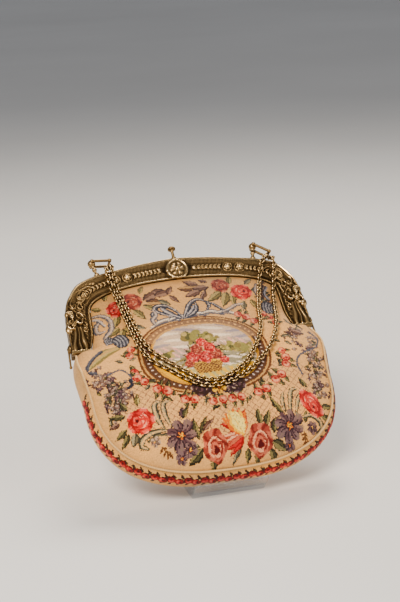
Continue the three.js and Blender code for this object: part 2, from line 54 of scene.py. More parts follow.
# %% Purse plane to Blender
MM = 0.001
HALF_ROOT = math.sqrt(0.5)
PURSE_Y, PURSE_Z = 24.439, 98.005


def place(u, v, w):
    u, v, w = np.broadcast_arrays(*(np.asarray(x, float) for x in (u, v, w)))
    y = PURSE_Y + (v - w) * HALF_ROOT
    z = PURSE_Z + (v + w) * HALF_ROOT
    return np.stack([u, y, z], -1) * MM


print("frame's top middle:", place(0, 78, 5))

# %% [markdown]
# ## Camera
# The picture is taken from a little left of the middle and from above, with a long lens. The camera's
# three axes are built from two angles and a small roll, and its distance puts the frame's width right.

# %% Camera
PICTURE = (400, 602)
FOCAL_PIXELS = 1500
ASIDE, ABOVE, ROLL = (math.radians(x) for x in (15.0, 15.5, 2.5))
AIM_PLACE, AIM_PIXEL = place(-1, 67, 5), (176, 269)
DISTANCE = 1.2358


def stance(axes, spot):
    """Matrix that stands a thing at a spot, with its three axes as columns."""
    column = np.asarray(spot, float)[:, None]
    last_row = [np.zeros((1, 3)), np.ones((1, 1))]
    return Matrix(np.block([[axes, column], last_row]).tolist())


backward = np.array([
    -math.sin(ASIDE) * math.cos(ABOVE), -math.cos(ASIDE) * math.cos(ABOVE), math.sin(ABOVE),
])
level = np.array([math.cos(ASIDE), -math.sin(ASIDE), 0.0])
upright = np.cross(backward, level)
rightward = math.cos(ROLL) * level - math.sin(ROLL) * upright
upward = math.sin(ROLL) * level + math.cos(ROLL) * upright
sight = (-backward * FOCAL_PIXELS + rightward * (AIM_PIXEL[0] - PICTURE[0] / 2)
         - upward * (AIM_PIXEL[1] - PICTURE[1] / 2))
stand_point = AIM_PLACE - sight / np.linalg.norm(sight) * DISTANCE

camera = bpy.data.objects.new("camera", bpy.data.cameras.new("camera"))
bpy.context.scene.collection.objects.link(camera)
axes = np.stack([rightward, upward, backward], 1)
camera.matrix_world = stance(axes, stand_point)
camera.data.sensor_width = 36
camera.data.lens = FOCAL_PIXELS / max(PICTURE) * camera.data.sensor_width
camera.data.clip_start, camera.data.clip_end = 0.01, 50
bpy.context.scene.camera = camera
bpy.context.scene.view_settings.look = "AgX - Medium High Contrast"
print("camera at", stand_point.round(3), "lens", round(camera.data.lens, 1))

# %% [markdown]
# ## Nodes in one line
# Finishes are graphs of nodes. A helper that makes a node, sets its values and links what is a socket
# keeps each finish readable as a short recipe.

# %% Helpers for finishes and meshes


def knot(tree, kind, inputs=None, **settings):
    made = tree.nodes.new("ShaderNode" + kind)
    for key, value in settings.items():
        setattr(made, key, value)
    for key, value in (inputs or {}).items():
        if isinstance(value, bpy.types.NodeSocket):
            tree.links.new(value, made.inputs[key])
        else:
            made.inputs[key].default_value = value
    return made


def figure(tree, operation, first, second=0.0):
    return knot(tree, "Math", {0: first, 1: second}, operation=operation).outputs[0]


def ramp(tree, factor, *stops):
    made = knot(tree, "ValToRGB", {"Fac": factor})
    for i, (position, colour) in enumerate(stops):
        stop = made.color_ramp.elements[i] if i < 2 else made.color_ramp.elements.new(position)
        stop.position, stop.color = position, (*colour, 1)
    return made.outputs["Color"]


def finish(name, **values):
    made = bpy.data.materials.new(name)
    made.use_nodes = True
    shader = made.node_tree.nodes["Principled BSDF"]
    for key, value in values.items():
        shader.inputs[key.replace("_", " ")].default_value = value
    return made, made.node_tree, shader


def piece(name, points, faces, material, crisp=None):
    mesh = bpy.data.meshes.new(name)
    mesh.from_pydata(np.asarray(points).tolist(), [], [list(map(int, f)) for f in faces])
    mesh.materials.append(material)
    mesh.shade_smooth()
    if crisp is not None:
        mesh.set_sharp_from_angle(angle=math.radians(crisp))
    made = bpy.data.objects.new(name, mesh)
    bpy.context.scene.collection.objects.link(made)
    return made


def settle(made, body, slot, *nodes):
    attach(made, body)
    if nodes:
        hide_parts(*nodes)
    print(made.name, len(made.data.polygons), "faces")
    return made


# %% [markdown]
# ## Floor and light
# A studio shot of a small gilt thing needs large soft lamps, so that the metal mirrors broad bright
# shapes. A strong lamp hangs over the front left, a weaker one fills the right, and one behind draws
# the frame's upper edge. The floor is a wide pale sheet with a faint mottle.

# %% Floor and lamps
LAMPS = [
    # name, position in metres, aim in metres, size in metres, watts
    ("key", (-0.7, -0.95, 1.2), (0, 0, 0.1), 0.7, 27),
    ("fill", (1.1, -0.9, 0.55), (0, 0, 0.08), 0.9, 7),
    ("edge", (0.3, 0.8, 1.1), (0, 0.04, 0.14), 0.6, 12),
]
LAMP_WARMTH = (1.0, 0.92, 0.82)
for name, position, aim, size, watts in LAMPS:
    lamp = bpy.data.objects.new(name, bpy.data.lights.new(name, "AREA"))
    bpy.context.scene.collection.objects.link(lamp)
    lamp.data.shape, lamp.data.size, lamp.data.energy = "DISK", size, watts
    lamp.data.color = LAMP_WARMTH
    towards = np.asarray(position, float) - np.asarray(aim, float)
    z = towards / np.linalg.norm(towards)
    x = np.cross((0, 0, 1), z)
    x /= np.linalg.norm(x)
    lamp.matrix_world = stance(np.stack([x, np.cross(z, x), z], 1), position)

world = bpy.data.worlds.new("studio")
world.use_nodes = True
world.node_tree.nodes["Background"].inputs["Color"].default_value = (0.93, 0.95, 1.0, 1)
world.node_tree.nodes["Background"].inputs["Strength"].default_value = 0.3
bpy.context.scene.world = world

floor_finish, tree, shader = finish("pale_floor", Roughness=0.6)
mottle = knot(tree, "TexNoise", {"Scale": 30.0, "Detail": 4.0})
tree.links.new(ramp(tree, mottle.outputs["Fac"], (0.3, (0.66, 0.65, 0.63)), (0.7, (0.72, 0.71, 0.69))),
               shader.inputs["Base Color"])
FLOOR_REACH, FLOOR_LEVEL = 12.0, -0.0002
corner_signs = ((-1, -1), (1, -1), (1, 1), (-1, 1))
floor_corners = [(x * FLOOR_REACH, y * FLOOR_REACH, FLOOR_LEVEL) for x, y in corner_signs]
floor = piece("floor", floor_corners, [range(4)], floor_finish)
print("lamps:", [row[0] for row in LAMPS])

# %% [markdown]
# ## The bag's outline
# The bag is cut to the mouth of the frame above and to a full round bottom below. The same numbers as
# the solids give the half width, the levels of the two seams and the bulge of the side strip at every
# height, close enough together to look smooth.

# %% Outline of the bag
GAP = 0.3
FRAME_STATIONS = np.array([
    # outerU, outerV, innerU, innerV
    (100, 0, 85, 0), (99.6, 18, 80.3, 15), (99, 32, 79.2, 29), (97, 45, 78.6, 37), (93, 53, 76.5, 42),
    (87, 61, 72.5, 45.6), (80, 65.4, 66, 49), (68, 69.4, 57, 52), (50, 72.6, 44, 54.8), (26, 76, 24, 57),
    (0, 78, 0, 57.9),
])
SIDE_ROWS = np.array([
    # v, halfWidth, frontSeam, backSeam, bulge
    (-1, 97, 3.4, -4, 0), (-6, 98, 6.8, -4.5, 1.5), (-14, 98.9, 13, -5, 3), (-24, 98.5, 19, -5, 4.5),
    (-38, 96.8, 20, -5, 5), (-50, 95.5, 20, -5, 5),
])
BOTTOM_V, BOTTOM_WIDTH, BOTTOM_DEPTH, BOTTOM_POWER = -50, 95.5, 71, 2.5
MOUTH_TOP = FRAME_STATIONS[-1, 3]
FRAME_LEVEL, SEAM_LEVEL, BACK_SEAM, FULL_BULGE = 3.5, 20, -5, 5
SHOULDER_SPREAD = 8.5


def spline(points, share):
    points = np.asarray(points, float)
    last = len(points) - 1
    x = np.clip(np.asarray(share, float), 0, 1) * last
    i = np.minimum(x.astype(int), last - 1)
    t = (x - i)[:, None]
    before, here = points[np.maximum(i - 1, 0)], points[i]
    there, after = points[i + 1], points[np.minimum(i + 2, last)]
    a, b = (there - before) / 2, (after - here) / 2
    return (2 * here - 2 * there + a + b) * t**3 + (3 * there - 3 * here - 2 * a - b) * t**2 + a * t + here


def arch(columns):
    right = FRAME_STATIONS[:, columns]
    return np.vstack([right, right[:-1][::-1] * (-1, 1)])


def below_frame(inset):
    side = spline(SIDE_ROWS, np.linspace(0, 1, 60))
    side[:, 1] -= inset
    angle = np.linspace(0, math.pi / 2, 140)[1:]
    v = BOTTOM_V - (BOTTOM_DEPTH - inset) * np.sin(angle) ** (2 / BOTTOM_POWER)
    u = (BOTTOM_WIDTH - inset) * np.cos(angle).clip(0) ** (2 / BOTTOM_POWER)
    full = np.ones_like(v)
    return np.vstack([side, np.stack([v, u, SEAM_LEVEL * full, BACK_SEAM * full, FULL_BULGE * full], 1)])


def panel_rows(inset):
    edge = spline(arch([2, 3]), np.linspace(0.5, 0, 90)) - GAP
    v, u = edge[:, 1], edge[:, 0].clip(0)
    cross = u + SHOULDER_SPREAD * (1 - v / MOUTH_TOP).clip(0, 1) ** 1.5
    upper = np.stack([v, u, cross, 0 * v + FRAME_LEVEL, 0 * v - FRAME_LEVEL], 1)
    lower = below_frame(inset)
    return np.vstack([upper, lower[:, [0, 1, 1, 2, 3]]])


PANEL_ROWS = panel_rows(inset=1.0)
PANEL_TOP, PANEL_BOTTOM = PANEL_ROWS[0, 0], PANEL_ROWS[-1, 0]
HALF_WIDTH, CROSS, FRONT_SEAM, BACK_SEAM_LINE = 1, 2, 3, 4


def along_rows(v, column):
    return np.interp(-np.asarray(v, float), -PANEL_ROWS[:, 0], PANEL_ROWS[:, column])


print("bag from v", PANEL_TOP.round(1), "to", PANEL_BOTTOM.round(1), "mm")

# %% [markdown]
# ## How full the bag is
# The padded front swells most below its middle and is drawn in along the frame and the seam, with a
# pinched crease under each end of the frame. The back is nearly flat, because the purse lies on it.
# A slow ripple of up to four tenths of a millimetre keeps the cloth from looking pressed.

# %% Levels of the two panels
FRONT_CROWN = {"top": 3.5, "full": 38, "full_v": -75, "bottom": 20, "rise": 1.65, "fall": 2.6}
BACK_CROWN = {"top": 3.5, "full": 8, "full_v": -20, "bottom": 5, "rise": 2.6, "fall": 5}
CROSS_POWER, EDGE_DIP = 2.4, 3.5
SWELL_FROM, SWELL_TO = 25, -38
CREASE_FROM, CREASE_TO, CREASE_DEPTH, CREASE_WIDTH = (84, -2), (97, -24), 2.6, 4.5
BAG_BOTTOM = BOTTOM_V - BOTTOM_DEPTH


def crown(shape, v):
    up = ((v - shape["full_v"]) / (MOUTH_TOP - shape["full_v"])).clip(0, 1) ** shape["rise"]
    down = ((shape["full_v"] - v) / (shape["full_v"] - BAG_BOTTOM)).clip(0, 1) ** shape["fall"]
    return shape["full"] - (shape["full"] - shape["top"]) * up - (shape["full"] - shape["bottom"]) * down


def smooth_step(x):
    x = np.clip(x, 0, 1)
    return x * x * (3 - 2 * x)


def front_level(u, v):
    u, v = np.abs(np.asarray(u, float)), np.asarray(v, float)
    middle = crown(FRONT_CROWN, v)
    swell = smooth_step((SWELL_FROM - v) / (SWELL_FROM - SWELL_TO))
    side = FRAME_LEVEL + (SEAM_LEVEL - FRAME_LEVEL) * swell
    width, cross = along_rows(v, HALF_WIDTH), along_rows(v, CROSS).clip(0.01)
    arched = middle + (side - middle) * (u / cross).clip(0, 1) ** CROSS_POWER
    at_edge = middle + (side - middle) * (width / cross).clip(0, 1) ** CROSS_POWER
    dip = (at_edge - along_rows(v, FRONT_SEAM)) * np.exp(-(width - u).clip(0) / EDGE_DIP)
    run = np.subtract(CREASE_TO, CREASE_FROM)
    du, dv = u - CREASE_FROM[0], v - CREASE_FROM[1]
    share = ((du * run[0] + dv * run[1]) / (run @ run)).clip(0, 1)
    off = (du - share * run[0]) ** 2 + (dv - share * run[1]) ** 2
    return arched - dip - CREASE_DEPTH * (1 - share) * np.exp(-off / CREASE_WIDTH**2)


def back_level(u, v):
    u, v = np.abs(np.asarray(u, float)), np.asarray(v, float)
    share = (u / along_rows(v, HALF_WIDTH).clip(0.01)).clip(0, 1) ** CROSS_POWER
    middle = -crown(BACK_CROWN, v)
    return middle + (along_rows(v, BACK_SEAM_LINE) - middle) * share


def slopes(level_of, u, v, step):
    slope_u = (level_of(u + step, v) - level_of(u - step, v)) / (2 * step)
    slope_v = (level_of(u, v + step) - level_of(u, v - step)) / (2 * step)
    return slope_u, slope_v


fullest = front_level(0, FRONT_CROWN["full_v"])
print("front stands", fullest.round(1), "mm proud of the frame's plane")

# %% [markdown]
# ## Threads
# Old petit point keeps a cream ground and soft faded colours. Each thread is named once here. Blender
# mixes light in linear values, so the codes are turned from screen values to linear ones.

# %% Threads
THREADS = {
    "cream": "dba769", "trellis": "9a6a4c", "gold": "c8923e", "tan": "c0935a", "brown": "6a3d1e",
    "umber": "3a2217", "plum_brown": "5b3b28", "mauve_brown": "8f6a4a", "white": "f3e2c6",
    "rose_heart": "560d0c", "rose_dark": "98201b", "rose": "c53a30", "rose_light": "d96552",
    "rose_edge": "e8957a", "dusk_dark": "79281e", "dusk": "9c4534", "dusk_light": "c06a50",
    "dusk_edge": "dea07a", "salmon_dark": "9c3f2a", "salmon": "c2664a", "salmon_light": "d58a68",
    "lilac_dark": "54433f", "lilac": "846a5a", "lilac_light": "ae937d", "plum": "5f4143",
    "plum_dark": "382227", "plum_light": "7f625d", "slate_dark": "2c2a34", "slate": "55535b",
    "slate_light": "918a8c", "mist": "c8b5a8", "leaf_dark": "2c2516", "leaf": "524a2b",
    "leaf_light": "857648", "moss_dark": "4c3f1f", "moss": "816f3d", "moss_light": "b0995f",
    "sage_dark": "3d372a", "sage": "685e47", "sage_light": "978a6b", "mauve_dark": "452820",
    "mauve": "704d3d", "mauve_light": "987460", "bark": "714a28", "yellow": "e8b240",
    "yellow_light": "f0d374", "orange": "d06b29", "sky": "c6aa90", "sky_grey": "9c8b8a",
    "olive": "8c8146", "olive_dark": "57522a", "meadow": "c3ae6e", "blush": "d69c8d", "cloud": "e2cdb2",
}


def linear(code):
    value = np.array([int(code[i:i + 2], 16) for i in (0, 2, 4)]) / 255
    return np.where(value <= 0.04045, value / 12.92, ((value + 0.055) / 1.055) ** 2.4)


THREAD = {name: linear(code) for name, code in THREADS.items()}
DEEP_ROSE = ("rose_heart", "rose_heart", "rose_dark", "rose", "rose_light")
RED_ROSE = ("rose_heart", "rose_dark", "rose", "rose_light", "rose_edge")
DUSK_ROSE = ("rose_heart", "dusk_dark", "dusk", "dusk_light", "dusk_edge")
SALMON_ROSE = ("rose_heart", "dusk_dark", "salmon_dark", "salmon", "salmon_light")
PLUM_BLOOM = ("plum_dark", "plum", "plum_light")
LILAC_BLOOM = ("lilac_dark", "lilac", "lilac_light")
PALE_BLOOM = ("mauve", "lilac", "lilac_light")
GARLAND_ROSE = ("rose_heart", "rose_dark", "salmon", "salmon_light", "dusk_edge")
RED_LEAF = ("rose_dark", "rose", "salmon")
SALMON_LEAF = ("salmon_dark", "salmon", "dusk_edge")
BRONZE_LEAF = ("mauve_dark", "bark", "tan")
GREEN_LEAF = ("leaf_dark", "leaf", "leaf_light")
MOSS_LEAF = ("moss_dark", "moss", "moss_light")
SAGE_LEAF = ("sage_dark", "sage", "sage_light")
MAUVE_LEAF = ("mauve_dark", "mauve", "mauve_light")
PLUME = ("sage_dark", "sage_light", "cream")
BOW_RIBBON = ("slate_dark", "slate", "mist")
RUFFLE = ("slate", "lilac_light", "white")
PALE_RIBBON = ("slate", "lilac_light", "mist")
LINE = ("slate",)
print(len(THREADS), "threads")

# %% [markdown]
# ## A chart of stitches
# Needlework is planned on a chart, one coloured square to each stitch. Here the chart is an array with
# a colour and a pile height for every stitch, and each motif is a function that colours the stitches
# inside its shape. That suits the real thing better than a painted texture: edges step from stitch to
# stitch just as they do on canvas.

# %% The chart and its lines


class Chart:
    def __init__(self, u, v, ground):
        self.u, self.v = u, v
        self.colour = np.empty(u.shape + (3,))
        self.colour[:] = THREAD[ground]
        self.pile = np.zeros(u.shape)

    def near(self, u, v, turn=0.0, size_u=1.0, size_v=1.0):
        cos, sin = math.cos(math.radians(turn)), math.sin(math.radians(turn))
        du, dv = self.u - u, self.v - v
        return (du * cos + dv * sin) / size_u, (dv * cos - du * sin) / size_v

    def fill(self, where, name, pile=0.0):
        self.colour[where] = THREAD[name]
        self.pile[where] = pile


def away_from(line, u, v):
    """How far places (u, v) lie from a line of points, on which side of it, and how far along it."""
    away, side, along = np.full(u.shape, 1e9), np.zeros(u.shape), np.zeros(u.shape)
    for i, (start, end) in enumerate(zip(line[:-1], line[1:])):
        run = end - start
        du, dv = u - start[0], v - start[1]
        share = ((du * run[0] + dv * run[1]) / max(run @ run, 1e-9)).clip(0, 1)
        gap = np.hypot(du - share * run[0], dv - share * run[1])
        nearer = gap < away
        away = np.where(nearer, gap, away)
        side = np.where(nearer, np.sign(run[0] * dv - run[1] * du), side)
        along = np.where(nearer, (i + share) / (len(line) - 1), along)
    return away, side, along


RIBBON_BANDS = {
    # threads: start of each band across the ribbon, and its thread
    1: ((-1.0, 0),),
    2: ((-1.0, 0), (-0.3, 1)),
    3: ((-1.0, 0), (-0.4, 1), (0.05, 2), (0.45, 1), (0.7, 0)),
}


def stroke(chart, points, width, threads, pile=0.15):
    """Line of stitches; with three threads a ribbon with narrow ends, dark edges and a light stripe."""
    line = spline(points, np.linspace(0, 1, 6 * len(points)))
    low, high = line.min(0) - width, line.max(0) + width
    within_u = (chart.u > low[0]) & (chart.u < high[0])
    within_v = (chart.v > low[1]) & (chart.v < high[1])
    rows, columns = np.nonzero(within_u & within_v)
    away, side, along = away_from(line, chart.u[rows, columns], chart.v[rows, columns])
    half = width / 2 * (0.4 + 0.7 * np.sin(math.pi * along) if len(threads) == 3 else 1)
    across = np.where(side < 0, -away, away) / half
    for start, tone in RIBBON_BANDS[len(threads)]:
        here = (across < 1) & (across > start)
        chart.fill((rows[here], columns[here]), threads[tone], pile)


def leaf(chart, u, v, length, width, turn, threads=GREEN_LEAF, bend=0.12):
    """Pointed leaf from its stalk at (u, v): one half light, the other shaded to its dark edge."""
    share, y = chart.near(u, v, turn, length)
    y = y - bend * length * share * (1 - share)
    half = width / 2 * np.sin(math.pi * share.clip(0, 1) ** 0.8) * (1 + 0.1 * np.cos(share * 24))
    inside = (share > 0) & (share < 1) & (np.abs(y) < half)
    outline, body, stripe = threads
    chart.fill(inside, body, 0.15)
    chart.fill(inside & (y < 0), stripe, 0.2)
    rib = (np.abs(y) < 0.3) & (share < 0.75)
    chart.fill(inside & (rib | (y > half - max(0.7, 0.2 * width)) | (y < 0.45 - half)), outline, 0.1)


print("chart lines ready")

# %% [markdown]
# ## Roses and other flowers
# A worked flower is a few tones of thread in rings and petals. Each could be charted stitch by stitch,
# but a rule in angles and distances from its middle gives every size and turn from one function.

# %% Roses and other flowers


def polar(x, y):
    return np.hypot(x, y), np.arctan2(y, x)


def rose(chart, u, v, radius, threads=RED_ROSE, turn=0.0, narrow=1.0):
    """Open rose: turned outer petals, dark broken ring, pale inner petals, coiled heart to one side."""
    x, y = chart.near(u, v, turn, radius, radius * narrow)
    away, angle = polar(x, y)
    coil, coil_angle = polar(x + 0.24, y - 0.06)
    heart, dark, middle, light, edge = threads
    petals = np.cos(5 * angle + 0.4)
    inside = away < 0.95 + 0.05 * petals
    chart.fill(inside, middle, 0.25)
    chart.fill(inside & (away > 0.72) & (petals < -0.5), dark, 0.2)
    chart.fill(inside & (np.abs(away - 0.82) < 0.1) & (petals > 0.25), light, 0.3)
    chart.fill(inside & (away > 0.9) & (petals > 0.6), edge, 0.3)
    ring = np.abs(away - 0.63 - 0.04 * np.cos(3 * angle + 1)) < 0.07
    chart.fill(ring & (np.cos(angle * 2.5 - 0.6) > -0.6), dark, 0.3)
    turned = np.cos(3 * angle + 7 * away)
    chart.fill(away < 0.56, light, 0.35)
    chart.fill((away < 0.56) & (turned > 0.5), edge, 0.35)
    chart.fill((away < 0.56) & (turned < -0.6), middle, 0.3)
    chart.fill((np.abs(coil - 0.42) < 0.07) & (np.cos(coil_angle - 2.6) > -0.5), dark, 0.35)
    chart.fill((np.abs(coil - 0.55) < 0.05) & (np.cos(coil_angle + 0.4) > 0.1), middle, 0.35)
    chart.fill(coil < 0.3, middle, 0.35)
    chart.fill((coil < 0.3) & (np.cos(coil_angle * 2 + 9 * coil) > 0.2), light, 0.35)
    chart.fill(coil < 0.13, heart, 0.35)


CUP_PETALS = [
    # distance from the cup's middle, where the petal's rim starts, how much of a turn it takes, tone
    (0.58, 1.3, 0.1, 4), (0.5, 5.6, 0.3, 2), (0.5, 2.9, 0.35, 4), (0.42, 0.8, 0.0, 1), (0.4, 4.1, 0.3, 4),
    (0.34, 2.3, -0.2, 2), (0.33, 5.5, 0.4, 4), (0.27, 1.0, 0.2, 3),
]


def cup_rose(chart, u, v, radius, threads=DUSK_ROSE, turn=0.0, narrow=0.92):
    """Full rose from the side: dusky outer petals, and a paler cup of curled rims round a dark heart."""
    x, y = chart.near(u, v, turn, radius * narrow, radius)
    heart, dark, middle, light = threads[:4]
    away, angle = polar(x, y)
    lobe = np.cos(5 * angle + 1.2)
    outer = away < 0.93 + 0.06 * lobe
    chart.fill(outer, middle, 0.25)
    chart.fill(outer & (np.cos(5 * angle + 1.2 + 4 * away) > 0.45), light, 0.25)
    chart.fill(outer & (np.cos(5 * angle + 1.2 + 3 * away) < -0.78), dark, 0.2)
    cup, fan = polar(x - 0.02, y + 0.2)
    chart.fill(outer & (cup < 0.7) & (y > -0.25), dark, 0.2)
    chart.fill(cup < 0.61 + 0.04 * np.cos(4 * fan), light, 0.35)
    for distance, start, reach, tone in CUP_PETALS:
        rim = np.abs(cup - distance - 0.04 * np.cos(3 * fan + start)) < 0.05
        chart.fill(rim & (np.cos(fan - start) > reach), threads[tone], 0.38)
    deep, round_heart = polar(x - 0.05, y + 0.27)
    chart.fill(deep < 0.24 + 0.04 * np.cos(3 * round_heart + 0.7), dark, 0.3)
    chart.fill(deep < 0.19 + 0.04 * np.cos(3 * round_heart + 0.7), heart, 0.3)


def bloom(chart, u, v, radius, count, threads=PLUM_BLOOM, eye=("orange", "yellow"), turn=0.0):
    """Open flower of broad overlapping petals, light and dark in turn, with a small speckled eye."""
    dark, middle, light = threads
    x, y = chart.near(u, v, turn, radius, radius)
    away, angle = polar(x, y)
    step = (angle * count / (2 * math.pi) + 0.12 * np.sin(away * 5)) % count
    number, share = np.floor(step).astype(int), step % 1
    reach = 0.94 - 0.16 * np.sin(number * 2.4) ** 2
    petal = away < reach * (0.62 + 0.38 * np.sin(share * math.pi) ** 0.5) + 0.025 * np.sin(angle * 37)
    pale = petal & (np.sin(number * 2.1 + 0.6) > 0.25)
    chart.fill(petal, middle, 0.25)
    chart.fill(pale & (share > 0.35) & (away > 0.42), light, 0.3)
    chart.fill(petal & (share > 0.8), light, 0.3)
    chart.fill(petal & (share < 0.2) & (away > 0.28), dark, 0.15)
    chart.fill(petal & (np.abs(share - 0.52) < 0.07) & (away < 0.62), dark, 0.2)
    if radius > 10:
        chart.fill(pale & (np.abs(share - 0.72) < 0.08) & (away > 0.6), "lilac", 0.3)
    chart.fill(away < 0.26, dark, 0.3)
    chart.fill((away < 0.2) & (np.cos(angle * 5 + away * 18) > 0.25), eye[0], 0.35)
    chart.fill((away < 0.13) & (np.cos(angle * 4 - away * 20) > 0.3), eye[1], 0.4)


def floret(chart, u, v, radius, threads, turn):
    x, y = chart.near(u, v, turn, radius, radius)
    away, angle = polar(x, y)
    lobe = np.abs(np.cos(angle * 2)) ** 0.6
    chart.fill(away < 0.55 + 0.65 * lobe, threads[0], 0.2)
    chart.fill(away < 0.4 + 0.5 * lobe, threads[1], 0.25)
    chart.fill((away < 0.4 + 0.5 * lobe) & (y > 0.15), threads[2], 0.3)
    if turn < 30:
        chart.fill(away < 0.25, "lilac_light", 0.3)


def bud(chart, u, v, radius, turn, threads=RED_ROSE, leaves=GREEN_LEAF):
    """Small rose of a swag: dark round, pale curl, dark heart, and short leaves beside it."""
    if leaves:
        for side in (-1, 1):
            leaf(chart, u, v, radius * 2.5, radius * 1.1, turn + side * 100, leaves)
    x, y = chart.near(u, v, turn, radius, radius)
    away, angle = polar(x, y)
    _, dark, middle, light, edge = threads
    chart.fill(away < 1, middle, 0.25)
    chart.fill((away < 1) & (away > 0.7) & (np.cos(angle + 2) > -0.2), dark, 0.25)
    chart.fill((away < 0.72) & (np.cos(angle - 0.6) > -0.1), light, 0.3)
    chart.fill((np.abs(away - 0.5) < 0.14) & (np.cos(angle - 0.9) > 0.45), edge, 0.3)
    chart.fill(np.hypot(x + 0.18, y + 0.12) < 0.3, dark, 0.25)


TULIP_PETALS = [
    # turn, width in lengths, threads
    (-36, 0.36, ("rose_dark", "rose", "orange")), (38, 0.34, ("rose_dark", "rose", "salmon")),
    (-22, 0.42, ("rose", "orange", "yellow")), (24, 0.42, ("orange", "orange", "yellow")),
    (-9, 0.46, ("orange", "yellow", "yellow_light")), (12, 0.44, ("orange", "yellow", "yellow_light")),
    (1, 0.46, ("yellow", "yellow_light", "yellow_light")),
]


def tulip(chart, u, v, length, turn):
    """Parrot tulip: flame edged petals behind yellow ones that close to an egg, flecked with green."""
    for side, wide, threads in TULIP_PETALS:
        reach = length * (1 - 0.003 * abs(side))
        leaf(chart, u, v, reach, length * wide, turn + side, threads, bend=side * -0.012)
    x, y = chart.near(u, v, turn, length, length * 0.3)
    fleck = np.sin(x * 33) * np.sin(y * 9 + x * 8)
    chart.fill((np.hypot((x - 0.5) / 0.36, y) < 1) & (fleck > 0.72), "moss_light", 0.3)


print("flowers ready")

# %% [markdown]
# ## Shells, sprays and twigs
# The small fillings between the flowers repeat with slight changes. The florets of a lilac spray could be
# placed by hand, but here they are scattered along a spine with a fixed seed, which gives the same spray
# on every run.

# %% Shells, sprays and twigs


def shell(chart, u, v, radius, turn, rings=2.6):
    """Round shell: dark and light ribs bow out from its hinge, inside a dark rim."""
    x, y = chart.near(u, v, turn, radius * 0.85, radius)
    away = np.hypot(x, y)
    rib = np.cos(np.hypot(x + 0.9, y * 0.8) * 2 * math.pi * rings)
    inside = away < 1
    chart.fill(inside, "slate", 0.25)
    chart.fill(inside & (rib < -0.35), "slate_dark", 0.15)
    chart.fill(inside & (rib > 0.5), "slate_light", 0.3)
    chart.fill(inside & (away > 0.86), "slate_dark", 0.2)


def spray(chart, spine, spread, count, seed, size=1.7):
    """Lilac branch: florets and small leaves scattered along a spine."""
    draw = np.random.default_rng(seed)
    path = spline(spine, draw.random(count))
    path = path + draw.normal(0, 0.5, path.shape) * spread
    for i, (u, v) in enumerate(path):
        if i % 3 == 0:
            threads = (MAUVE_LEAF, SAGE_LEAF, MOSS_LEAF)[i // 3 % 3]
            leaf(chart, u, v, size * 3.4, size * 1.4, draw.uniform(0, 360), threads)
        else:
            tones = (PALE_BLOOM, PLUM_BLOOM, LILAC_BLOOM, PALE_BLOOM)[i % 4]
            floret(chart, u, v, size * draw.uniform(0.8, 1.2), tones, draw.uniform(0, 90))


def twig(chart, u, v, turn, length=8.0):
    """Sprig of small brown leaves in pairs on a bent stalk."""
    for step, spread in ((0.15, 62), (0.5, 52), (0.8, 40), (1.0, 0)):
        angle = math.radians(turn + 22 * step)
        spot = (u + math.cos(angle) * length * step, v + math.sin(angle) * length * step)
        stroke(chart, [(u, v), spot], 0.8, ("bark",))
        for side in (-1, 1):
            leaf(chart, *spot, 3.8, 1.9, turn + 22 * step + side * spread, ("brown", "bark", "bark"))


print("shells, sprays and twigs ready")

# %% [markdown]
# ## Ground, trellis and oval
# The ground is plain cream with a fine slanted trellis in its lower half. A beaded oval in the middle
# frames a small garden view. That view is a plain one of the usual kind: a basket of flowers on a
# lawn, with trees and hills behind it, in the colours that such a picture has.

# %% Ground of the front
STITCH, CANVAS_HALF, TRELLIS_PITCH = 0.64, 99.0, 9
OVAL = {"u": -1.9, "v": -26.3, "half_u": 52.8, "half_v": 38.4, "tilt": -3.0, "power": 2.3}


def canvas(bottom, top, half_width, level_of, stitch):
    """Grid lines of a chart: even columns, and rows evenly spaced along the swelling cloth."""
    fine = np.linspace(top, bottom, 4000)
    run = np.concatenate([[0], np.cumsum(np.hypot(np.diff(fine), np.diff(level_of(0 * fine, fine))))])
    rows = np.interp(np.arange(0, run[-1] + stitch, stitch), run, fine, right=bottom - stitch)
    columns = np.arange(-math.ceil(half_width / stitch), math.ceil(half_width / stitch) + 1) * stitch
    return columns, rows


def chart_of(columns, rows, ground="cream"):
    u, v = np.meshgrid((columns[1:] + columns[:-1]) / 2, (rows[1:] + rows[:-1]) / 2)
    return Chart(u, v, ground)


def trellis(chart, pitch, where):
    """Slanted trellis, one stitch wide, that steps along the canvas's own diagonals."""
    row, column = np.indices(chart.u.shape)
    for side in (-1, 1):
        chart.fill(where & ((column + side * row) % pitch == 0), "trellis")


front_columns, front_rows = canvas(PANEL_BOTTOM, PANEL_TOP, CANVAS_HALF, front_level, STITCH)
front_chart = chart_of(front_columns, front_rows)
lower_ground = np.hypot(front_chart.u / 80, (front_chart.v + 62) / 42) < 1
trellis(front_chart, TRELLIS_PITCH, lower_ground & (front_chart.v < -40))
print("front chart", front_chart.u.shape, "stitches")

# %% Oval with its garden view
TREES = [
    # x and y of the crown in half ovals, and its reach
    (-0.1, 0.42, 0.24), (0.08, 0.36, 0.18), (0.48, 0.12, 0.24), (0.66, 0.02, 0.2), (0.3, 0.0, 0.14),
    (-0.62, 0.0, 0.16),
]
FOLIAGE = ("olive_dark", "olive", "moss", "moss_light", "olive")
BASKET_ROSES = [
    # u and v from the basket's rim, radius, threads
    (-10, 5, 5.8, RED_ROSE), (9, 5.5, 5.6, SALMON_ROSE), (0, 4, 6.2, RED_ROSE),
    (-5, 12.5, 5.2, SALMON_ROSE), (5.5, 13, 5.2, RED_ROSE), (0.5, 19, 4.4, RED_ROSE),
    (-14, -1, 3.8, SALMON_ROSE), (14.5, -1, 3.8, RED_ROSE),
]


